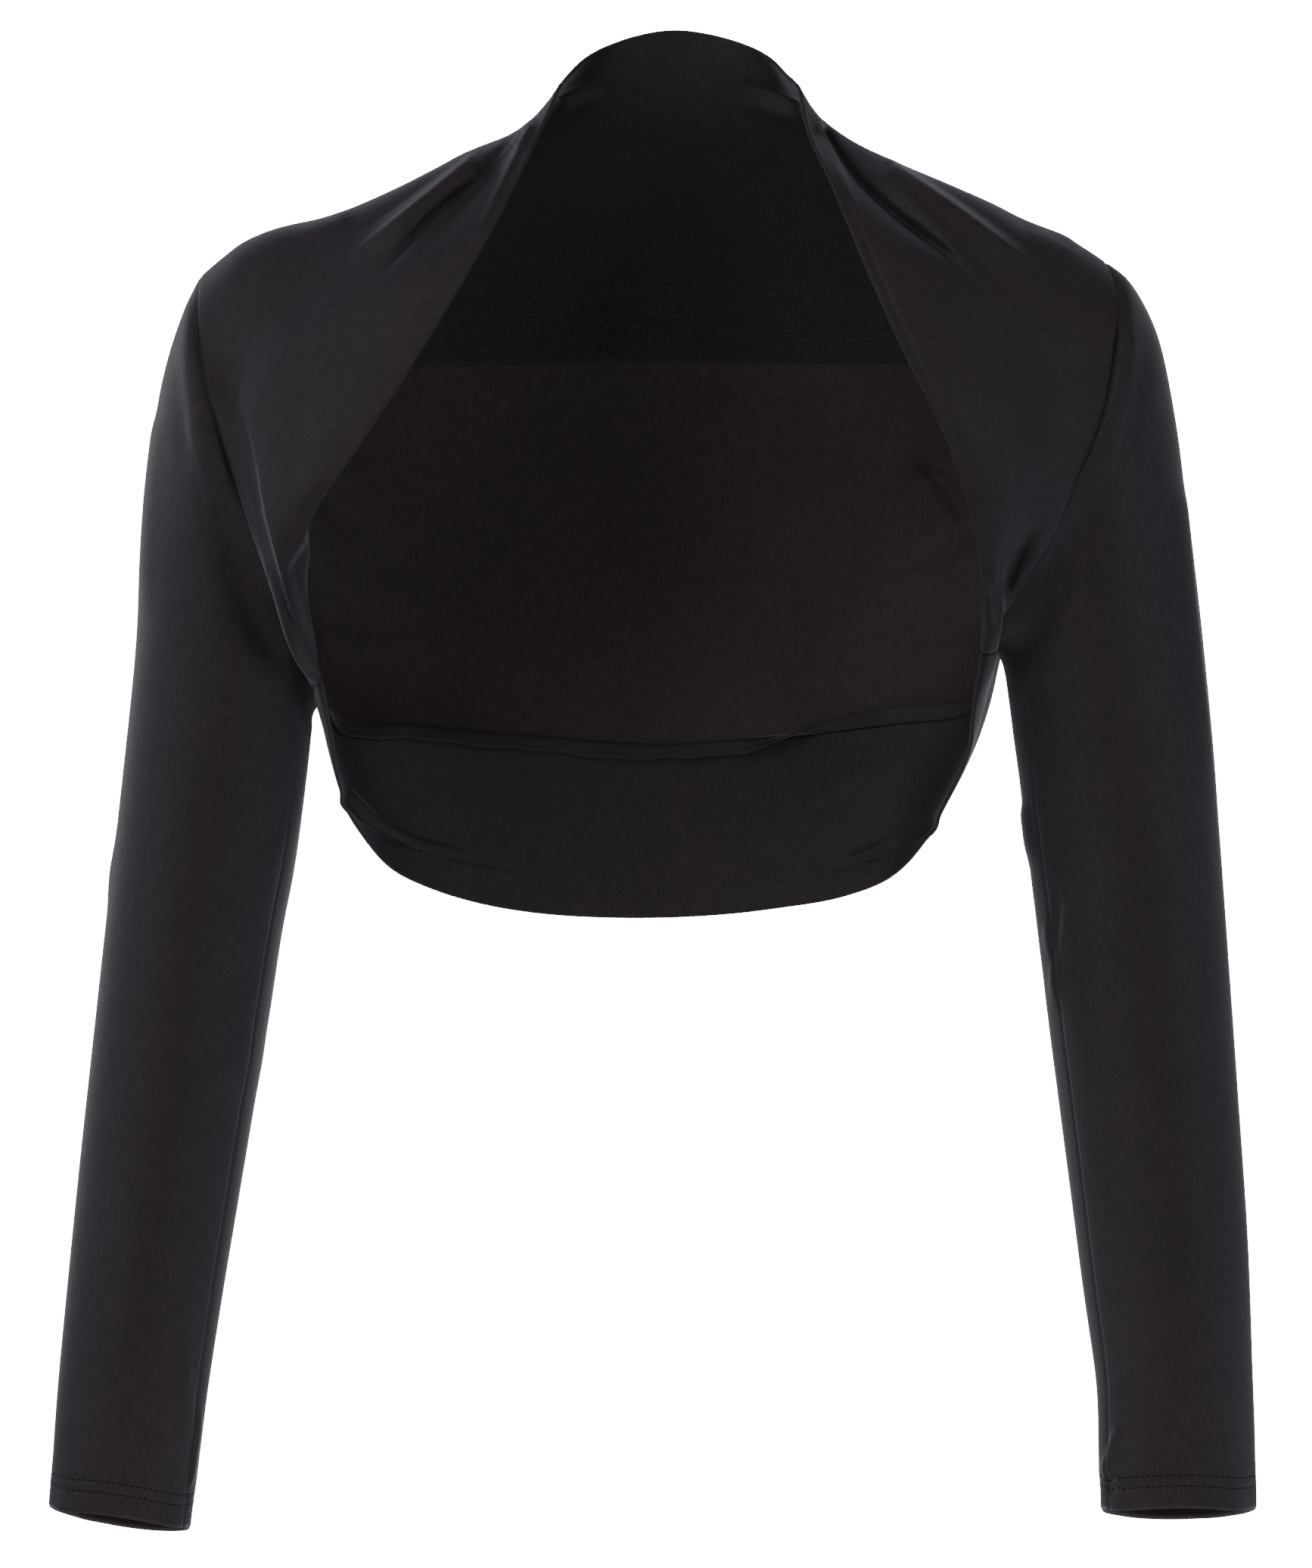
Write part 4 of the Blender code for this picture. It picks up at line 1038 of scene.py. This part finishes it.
def relax(cloth, line):
    """Smooth out a sharp hollow of the cloth along a line, as seen from the front."""
    seen = as_seen(cloth.surface)
    gap = nearest_on(seen.reshape(-1, 2), np.array(line, float))[0].reshape(seen.shape[:2])
    share = ridge(gap, RELAX_WIDTH) * (cloth.surface[..., 1] < RELAX_BACK)
    share = (share * cloth.beside_seam(RELAX_SEAM_FADE))[1:-1, :, None]
    for _ in range(RELAX_ROUNDS):
        grid = cloth.surface
        inner = grid[1:-1]
        even = (grid[:-2] + grid[2:] + np.roll(inner, 1, 1) + np.roll(inner, -1, 1)) / 4
        cloth.surface = np.concatenate([grid[:1], inner + (even - inner) * share, grid[-1:]])
    cloth.turn()


def crease(cloth, creases, fade):
    """Lift a piece's creases."""
    lift = crease_lift(cloth.surface, cloth.outward, creases)
    cloth.move(lift * cloth.beside_seam(fade)[..., None])


def shape_cuff(cloth, around):
    """Swell a cuff's edge a little, sink its rows of stitches, and press the sleeve's own seam."""
    to_edge = cloth.away["last"]
    angle = around * 2 * np.pi / AROUND
    wave = sum(share * np.sin(number * angle + phase) for number, phase, share in CUFF_WAVES)
    height = CUFF_WAVE * wave * (1 - smooth_step(to_edge, *CUFF_WAVE_ENDS))
    ripples, changes, much = CUFF_RIPPLES
    ripple = 0.5 + 0.5 * np.sin(angle * ripples + much * np.sin(changes * angle))
    for row in CUFF_ROWS:
        height = height - (CUFF_SINK[0] + CUFF_SINK[1] * ripple) * ridge(to_edge - row,
                                                                         CUFF_SINK_WIDTH)
    height = height + CUFF_PUFF * ripple * ridge(to_edge - sum(CUFF_ROWS) / 2, CUFF_PUFF_WIDTH)
    perimeter = run(cloth.surface, 1)
    seam = np.array([np.interp(SLEEVE_SEAM_PLACE, around, line) for line in perimeter])
    fading = smooth_step(cloth.away["first"], *SLEEVE_SEAM_STARTS)
    height = height - SLEEVE_SEAM_DIP * ridge(perimeter - seam[:, None], SLEEVE_SEAM_WIDTH) * fading
    cloth.surface = cloth.surface + cloth.outward * height[..., None]
    front = smooth_step(-cloth.outward[..., 1], *CUFF_FRONT)
    cloth.surface[..., 2] -= CUFF_DROP * front * (1 - smooth_step(to_edge, *CUFF_DROP_ENDS))
    cloth.turn()


def snap(points, masters):
    """Move points onto the nearest master line, where one is near."""
    best = np.full(len(points), SEAM_REACH)
    moved = points.copy()
    for master in masters:
        gap, nearest, share, _, step = nearest_on(points, master)
        closer = gap < best
        best[closer] = gap[closer]
        moved[closer] = (master[nearest] + share[:, None] * step)[closer]
    return moved


def join(cloths, masters):
    """Bring sewn edges onto shared lines, and give both sides of a seam one direction there."""
    edges = [(cloth, side, edge_lines(side, cloth.surface)[0], edge_lines(side, cloth.outward)[0])
             for cloth in cloths for side in cloth.sewn]
    changes = []
    for cloth, side, points, outward in edges:
        shared = outward.copy()
        for other, _, other_points, other_outward in edges:
            if other is not cloth:
                gap = np.linalg.norm(points[:, None] - other_points, axis=2)
                near = gap.min(axis=1) < SEAM_REACH
                shared[near] += other_outward[gap.argmin(axis=1)[near]]
        agree = np.linalg.norm(shared, axis=1, keepdims=True) > OPPOSED
        changes.append((cloth, side, snap(points, masters) - points,
                        np.where(agree, unit(shared), outward)))
    for cloth, side, move, shared in changes:
        weight = cloth.weights[side][..., None]
        cloth.surface = cloth.surface + spread(side, move) * weight
        cloth.outward = unit(cloth.outward * (1 - weight) + spread(side, shared) * weight)


def layers(cloth, extra_inside=None):
    """Outer and inner face of a piece, rounded over its folds and drawn in along its seams."""
    half = cloth.thickness / 2
    depth = np.full(cloth.surface.shape[:2], half)
    thick = depth.copy()
    for side in cloth.sewn:
        weight = cloth.weights[side]
        depth = depth * (1 - weight) + (SEAM_WALL / 2 + SEAM_DIP) * weight
        thick = thick * (1 - weight) + SEAM_WALL / 2 * weight
    for side in cloth.folded:
        round_off = 1 - np.clip(cloth.away[side] / half, 0, 1)
        thick = thick * np.maximum(np.sqrt(1 - round_off ** 2), FOLD_WALL)
    outer = cloth.surface - cloth.outward * (depth - thick)[..., None]
    inner = cloth.surface - cloth.outward * (depth + thick)[..., None]
    if extra_inside is not None:
        inner = inner - cloth.outward * (extra_inside * thick / half)[..., None]
    for side in cloth.sewn:
        edge, beside = edge_lines(side, inner)
        edge += (unit(edge - beside) + edge_lines(side, cloth.outward)[0]) * SEAM_LAP
    return outer, inner


# ---------------------------------------------------------------- meshes
def shell_quads(rows, columns, closed=False):
    """Quads of a shell between two grids of points: outside, inside and rim. With them go the grid
    row and column of each corner, for its texture, and which quads are inside."""
    count = rows * columns
    span = columns if closed else columns - 1
    row, column = np.meshgrid(np.arange(rows - 1), np.arange(span), indexing="ij")
    in_row = np.stack([row, row, row + 1, row + 1], axis=-1).reshape(-1, 4)
    in_column = np.stack([column, column + 1, column + 1, column], axis=-1).reshape(-1, 4)
    outer = in_row * columns + in_column % columns

    row, column = np.arange(rows - 1), np.arange(span)
    after = (column + 1) % columns
    bottom = (rows - 1) * columns
    pairs = [(after, column), (bottom + column, bottom + after)]
    if not closed:
        pairs.append((row * columns, (row + 1) * columns))
        pairs.append(((row + 1) * columns + columns - 1, row * columns + columns - 1))
    rim = np.concatenate([np.stack([start, end, end + count, start + count], axis=1)
                          for start, end in pairs])
    quads = np.concatenate([outer, outer[:, ::-1] + count, rim])
    in_row = np.concatenate([in_row, in_row[:, ::-1], rim % count // columns])
    in_column = np.concatenate([in_column, in_column[:, ::-1], rim % count % columns])
    return quads, in_row, in_column, np.repeat([0, 1, 0], [len(outer), len(outer), len(rim)])


def put_mesh(name, points, quads, marks, *materials, inside=None):
    """A smooth mesh object from points in millimetres, with its texture places. The second material
    goes on the inside faces."""
    mesh = bpy.data.meshes.new(name)
    mesh.vertices.add(len(points))
    mesh.vertices.foreach_set("co", (points * MM).astype(np.float32).ravel())
    mesh.loops.add(quads.size)
    mesh.loops.foreach_set("vertex_index", quads.astype(np.int32).ravel())
    mesh.polygons.add(len(quads))
    mesh.polygons.foreach_set("loop_start",
                              np.arange(0, quads.size, quads.shape[1], dtype=np.int32))
    mesh.update(calc_edges=True)
    if marks is not None:
        layer = mesh.uv_layers.new(name="cloth")
        layer.data.foreach_set("uv", (marks * MM).astype(np.float32).ravel())
    for material in materials:
        mesh.materials.append(material)
    if inside is not None:
        mesh.polygons.foreach_set("material_index", inside.astype(np.int32))
    mesh.validate()
    mesh.shade_smooth()
    thing = bpy.data.objects.new(name, mesh)
    bpy.context.scene.collection.objects.link(thing)
    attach(thing, "root")
    return thing


def put_cloth(cloth, materials, wales_down, extra_inside=None):
    """The piece as a closed thin shell, in the materials of its outside and its inside. Its wales
    run down the columns or along the rows."""
    outer, inner = layers(cloth, extra_inside)
    rows, columns = outer.shape[:2]
    quads, in_row, in_column, inside = shell_quads(rows, columns, cloth.closed)
    if cloth.flip:
        quads, in_row, in_column = (part[:, ::-1] for part in (quads, in_row, in_column))
    down = run(cloth.surface, 0)[:, columns // 2]
    across = run(cloth.surface, 1)[rows // 2]
    if cloth.closed:
        middle = cloth.surface[rows // 2]
        across = np.append(across, across[-1] + np.linalg.norm(middle[0] - middle[-1]))
    marks = np.stack([across[in_column], down[in_row]], axis=-1)
    if not wales_down:
        marks = marks[..., ::-1]
    points = np.concatenate([outer.reshape(-1, 3), inner.reshape(-1, 3)])
    thing = put_mesh(cloth.name + "_cloth", points, quads, marks, *materials, inside=inside)
    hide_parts(cloth.name)
    return thing, outer, inner


def tubes(paths, radii):
    """Round threads along short paths: all paths have the same number of points."""
    paths = np.asarray(paths, float)
    sides = THREAD_SIDES
    count, steps = paths.shape[:2]
    along = unit(np.gradient(paths, axis=1))
    helper = np.where(np.abs(along[..., 2:3]) < UPRIGHT, [0.0, 0.0, 1.0], [1.0, 0.0, 0.0])
    first = unit(np.cross(along, helper))
    second = np.cross(along, first)
    turn = (np.arange(sides) * 2 * np.pi / sides)[:, None]
    ring = first[:, :, None] * np.cos(turn) + second[:, :, None] * np.sin(turn)
    points = paths[:, :, None] + ring * np.asarray(radii)[None, :, None, None]
    base = (np.arange(count) * steps * sides)[:, None, None]
    step = (np.arange(steps - 1) * sides)[None, :, None]
    side = np.arange(sides)[None, None]
    after = (side + 1) % sides
    here, there = base + step, base + step + sides
    quads = [np.stack([here + side, here + after, there + after, there + side],
                      axis=-1).reshape(-1, 4)]
    for end, turned in ((0, True), ((steps - 1) * sides, False)):
        for corner in range(0, sides - 2, 2):
            cap = [end, end + corner + 1, end + corner + 2, end + (corner + 3) % sides]
            quads.append(base[:, 0] + np.array(cap[::-1] if turned else cap))
    return points.reshape(-1, 3), np.concatenate(quads)[:, ::-1]


def stitches(name, path, outward, material, step=STITCH_STEP):
    """A row of separate stitches lying along a path on the cloth."""
    distance = travelled(path)
    number = max(int(round(distance[-1] / step)), 1)
    starts = np.arange(number) * distance[-1] / number
    shares, lift, swell = np.transpose(STITCH_SHAPE)
    wanted = (starts[:, None] + shares * STITCH_LENGTH).ravel()
    ups = unit(read_line(wanted, distance, outward))
    places = read_line(wanted, distance, path) + ups * np.tile(lift, number)[:, None]
    points, quads = tubes(places.reshape(number, len(shares), 3), swell * STITCH_THICK / 2)
    return put_mesh(name, points, quads, None, material)


def cuff_rows(name, outer, outward, to_edge, material):
    """The twin rows of stitches round a cuff."""
    columns = list(range(outer.shape[1])) + [0]
    rows = []
    for number, distance in enumerate(CUFF_ROWS):
        path, ups = ([read_line([distance], to_edge[::-1, column], grid[::-1, column])[0]
                      for column in columns] for grid in (outer, outward))
        rows.append(stitches(f"{name}_stitches_{number + 1}", np.array(path), unit(np.array(ups)),
                             material))
    return rows


def overlock(cloth, inner, material, thread_material):
    """The overlocked allowance of the lower back seam, turned over half way along it."""
    seam = inner[:, -1]
    distance = travelled(seam)
    kept = distance[(distance > ALLOWANCE_ENDS) & (distance < distance[-1] - ALLOWANCE_ENDS)]
    wanted = np.linspace(kept[0], kept[-1], ALLOWANCE_STEPS)
    line = read_line(wanted, distance, seam)
    away = unit(read_line(wanted, distance, cloth.outward[:, -1]))
    along = unit(np.gradient(line, axis=0))
    up = unit(np.cross(along, away))
    up = up * np.sign(up[:, 2:3])
    turn = np.radians(ALLOWANCE_TURN) * (2 * smooth_step(line[:, 0], *ALLOWANCE_FLIP) - 1)
    turn = (turn * (1 + waves(wanted, ALLOWANCE_LEAN)))[:, None]
    width = ALLOWANCE + waves(wanted, ALLOWANCE_EDGE)
    start = line - away * (ALLOWANCE_WALL / 2)
    direction = unit(-away * np.cos(turn) + up * np.sin(turn))
    face = unit(np.cross(along, direction))
    shares, half = np.transpose(ALLOWANCE_SHAPE)
    middle = start[:, None] + direction[:, None] * (shares[:, None] * width[:, None, None])
    half = face[:, None] * (half * ALLOWANCE_WALL / 2)[:, None]
    quads, in_row, in_column, _ = shell_quads(*middle.shape[:2])
    points = np.concatenate([(middle + half).reshape(-1, 3), (middle - half).reshape(-1, 3)])
    marks = np.stack([wanted[in_row], (shares * ALLOWANCE)[in_column]], axis=-1)
    strip = put_mesh("lower_seam_allowance", points, quads, marks, material)

    number = int((wanted[-1] - wanted[0]) / LOOP_STEP)
    steps, shares, sides = np.transpose(LOOP_SHAPE)
    places = (np.arange(number)[:, None] + steps) * LOOP_STEP + wanted[0]
    here = np.interp(places, wanted, np.arange(len(wanted))).astype(int)
    middle = start[here] + direction[here] * width[here][..., None] * shares[:, None]
    off = face[here] * sides[:, None] * (ALLOWANCE_WALL / 2 + LOOP_LIFT)
    loops = np.stack([middle + off, middle - off], axis=1).reshape(2 * number, -1, 3)
    points, quads = tubes(loops, [LOOP_RADIUS] * len(LOOP_SHAPE))
    sewn = [strip, put_mesh("lower_seam_overlock", points, quads, None, thread_material)]
    for place, side in (("front", 1), ("back", -1)):
        path = (start + direction * (width * NEEDLE_PLACE)[:, None]
                + face * side * (ALLOWANCE_WALL / 2))
        sewn.append(stitches("lower_seam_needle_" + place, path, face * side, thread_material,
                             step=NEEDLE_STEP))
    return sewn


# ---------------------------------------------------------------- materials
def fill(tree, node, inputs):
    """Set a node's inputs, or link those that are given as another node's output."""
    for name, value in inputs.items():
        if isinstance(value, bpy.types.NodeSocket):
            tree.links.new(value, node.inputs[name])
        else:
            node.inputs[name].default_value = value


def add(tree, kind, inputs, **settings):
    """Add a node beside the others, and give its outputs."""
    node = tree.nodes.new("ShaderNode" + kind)
    node.location = (NODE_STEP * (len(tree.nodes) - NODE_ROOM), 0)
    for name, value in settings.items():
        setattr(node, name, value)
    fill(tree, node, inputs)
    return node.outputs


def noise(tree, vector, scale, detail, roughness):
    return add(tree, "TexNoise", {"Vector": vector, "Scale": scale, "Detail": detail,
                                  "Roughness": roughness})["Fac"]


def stretched(tree, marks, across, down):
    return add(tree, "Mapping", {"Vector": marks, "Scale": (across, down, 1.0)})["Vector"]


def mix(tree, first, second, share, kind="FLOAT"):
    return add(tree, "Mix", {"Factor": share, "A": first, "B": second}, data_type=kind)["Result"]


def between_limits(tree, value, limits, results=(0.0, 1.0)):
    return add(tree, "MapRange", {"Value": value, "From Min": limits[0], "From Max": limits[1],
                                  "To Min": results[0], "To Max": results[1]})["Result"]


def ramp(tree, value, colours, stops=(0.0, 1.0)):
    result = add(tree, "ValToRGB", {"Fac": value})["Color"]
    for element, colour, stop in zip(result.node.color_ramp.elements, colours, stops):
        element.position = stop
        element.color = tuple(colour) + (1.0,)
    return result


def bump(tree, height, strength, depth, **normal):
    return add(tree, "Bump", {"Height": height, "Strength": strength, "Distance": depth,
                              **normal})["Normal"]


def new_material(name):
    material = bpy.data.materials.new(name)
    material.use_nodes = True
    return material, material.node_tree, material.node_tree.nodes["Principled BSDF"]


def jersey(name):
    """Smooth plain knit: uneven wales with courses across them, soft mottling and a dull sheen."""
    dark, light, strength, slubs = JERSEYS[name]
    material, tree, shader = new_material(name)
    places = add(tree, "TexCoord", {})["Object"]
    marks = add(tree, "UVMap", {}, uv_map="cloth")["UV"]

    wales, courses, loops = (noise(tree, stretched(tree, marks, *kind[:2]), 1.0, *kind[2:])
                             for kind in (WALES, COURSES, LOOPS))
    yarn = mix(tree, mix(tree, wales, courses, COURSE_SHARE), loops, LOOP_SHARE)
    clouds = noise(tree, places, *CLOUDS)
    mottle = mix(tree, clouds, noise(tree, places, *BLOTCHES), BLOTCH_SHARE)
    colour = ramp(tree, mix(tree, mottle, yarn, YARN_SHARE), (dark, light), COLOUR_STOPS)
    if slubs:
        colour = add_slubs(tree, marks, places, colour)
    knit = bump(tree, yarn, strength, KNIT_DEPTH)
    fill(tree, shader, {
        **JERSEY_SHADER,
        "Base Color": colour,
        "Roughness": between_limits(tree, yarn, YARN_HEIGHTS, YARN_ROUGHNESS),
        "Normal": bump(tree, clouds, CLOUD_STRENGTH, CLOUD_DEPTH, Normal=knit),
    })
    return material


def add_slubs(tree, marks, places, colour):
    """Short pale slubs of the yarn, scattered over the back of the band below the neck."""
    spots = add(tree, "TexVoronoi", {"Vector": stretched(tree, marks, *SLUB_SCALE), "Scale": 1.0})
    amount = between_limits(tree, spots["Distance"], SLUB_SIZE)
    split = add(tree, "SeparateXYZ", {"Vector": places})
    for axis, start, full in SLUB_LIMITS:
        limit = between_limits(tree, split[axis], (start, full))
        amount = add(tree, "Math", {0: amount, 1: limit}, operation="MULTIPLY")["Value"]
    return mix(tree, colour, SLUB_COLOUR, amount, "RGBA")


def thread(name):
    """Spun sewing thread, with the twist of its plies."""
    colour, shine = THREADS[name]
    material, tree, shader = new_material(name)
    twist = noise(tree, add(tree, "TexCoord", {})["Object"], *TWIST)
    fill(tree, shader, {
        "Specular IOR Level": shine,
        "Sheen Weight": shine / 2,
        "Roughness": THREAD_ROUGHNESS,
        "Base Color": ramp(tree, twist, [[shade * part for part in colour]
                                         for shade in TWIST_SHADES]),
        "Normal": bump(tree, twist, TWIST_STRENGTH, TWIST_DEPTH),
    })
    return material


# ---------------------------------------------------------------- picture
def add_object(name, data, place, turn):
    thing = bpy.data.objects.new(name, data)
    bpy.context.scene.collection.objects.link(thing)
    thing.location = place
    thing.rotation_euler = turn
    return thing


def set_stage():
    """A pale floor, soft studio lights and the camera."""
    material, tree, shader = new_material("floor_paint")
    fill(tree, shader, {"Base Color": FLOOR_COLOUR, "Roughness": FLOOR_ROUGHNESS})
    bpy.ops.mesh.primitive_circle_add(vertices=FLOOR_SIDES, radius=FLOOR_RADIUS,
                                      fill_type="NGON", location=FLOOR_PLACE)
    floor = bpy.context.object
    floor.name = "floor"
    floor.data.materials.append(material)

    world = bpy.data.worlds.new("studio")
    bpy.context.scene.world = world
    world.use_nodes = True
    tree = world.node_tree
    seen = add(tree, "LightPath", {})["Is Camera Ray"]
    fill(tree, tree.nodes["Background"], {
        "Color": WHITE + (1.0,),
        "Strength": between_limits(tree, seen, (0.0, 1.0), (WORLD_LIGHT, BACKDROP_LIGHT)),
    })

    for name, place, aim, size, power, colour in LIGHTS:
        light = bpy.data.lights.new(name, "AREA")
        light.shape = "RECTANGLE"
        light.size, light.size_y = size
        light.energy = power
        light.color = colour
        direction = np.array(aim, float) - np.array(place, float)
        pitch = math.acos(-direction[2] / np.linalg.norm(direction))
        heading = math.atan2(direction[1], direction[0]) - math.pi / 2
        add_object(name, light, place, (pitch, 0, heading)).visible_camera = False

    camera = bpy.data.cameras.new("camera")
    camera.sensor_width = SENSOR
    camera.lens = SENSOR * VIEW_DISTANCE / (2 * VIEW_HALF)
    bpy.context.scene.camera = add_object(
        "camera", camera, (0, -VIEW_DISTANCE * MM, VIEW_HEIGHT * MM), (math.pi / 2, 0, 0))


def main():
    cloths, around = make_cloths()
    band, panel = cloths["upper_band"], cloths["back_panel"]
    rings = [cloths[name].surface[0] for name in SLEEVES]
    masters = [np.vstack([ring, ring[:1]]) for ring in rings]
    masters += [panel.surface[:, 0], panel.surface[:, -1], band.surface[0], band.surface[-1]]

    tuck_corner(band)
    roll_edge(band)
    for name, line in UNDERARM_HOLLOWS.items():
        relax(cloths[name], line)
    for name, creases in CREASES.items():
        crease(cloths[name], creases, SLEEVE_FADE if name in SLEEVES else PANEL_FADE)
    for name in SLEEVES:
        shape_cuff(cloths[name], around)
    join(list(cloths.values()), masters)

    # the inside collar material carries painted shade, and the reverse one painted fill light
    single, reverse_painted_fill, doubled, collar_painted_shade = (jersey(name) for name in JERSEYS)
    sewing, edging = (thread(name) for name in THREADS)
    made = {}
    faces = {}
    # the upper band's inside faces are darkened by painted shade
    for name, materials in (("upper_band", (doubled, collar_painted_shade)), ("hem_band", (doubled, doubled)),
                            ("back_panel", (single, reverse_painted_fill))):
        made[name], *faces[name] = put_cloth(cloths[name], materials, False)
    for name in SLEEVES:
        cloth = cloths[name]
        to_edge = cloth.away["last"]
        hem = (SHOWN_DOUBLE - SHOWN_SINGLE) * (
            1 - smooth_step(to_edge, CUFF_HEM - CUFF_HEM_STEP, CUFF_HEM))
        # the sleeves' inside faces get the reverse jersey with its painted fill light
        made[name], outer, _ = put_cloth(cloth, (single, reverse_painted_fill), True, hem)
        cuff_rows(name.replace("sleeve", "cuff"), outer, cloth.outward, to_edge,
                                sewing)
    overlock(panel, faces["back_panel"][1], doubled, edging)


main()
set_stage()
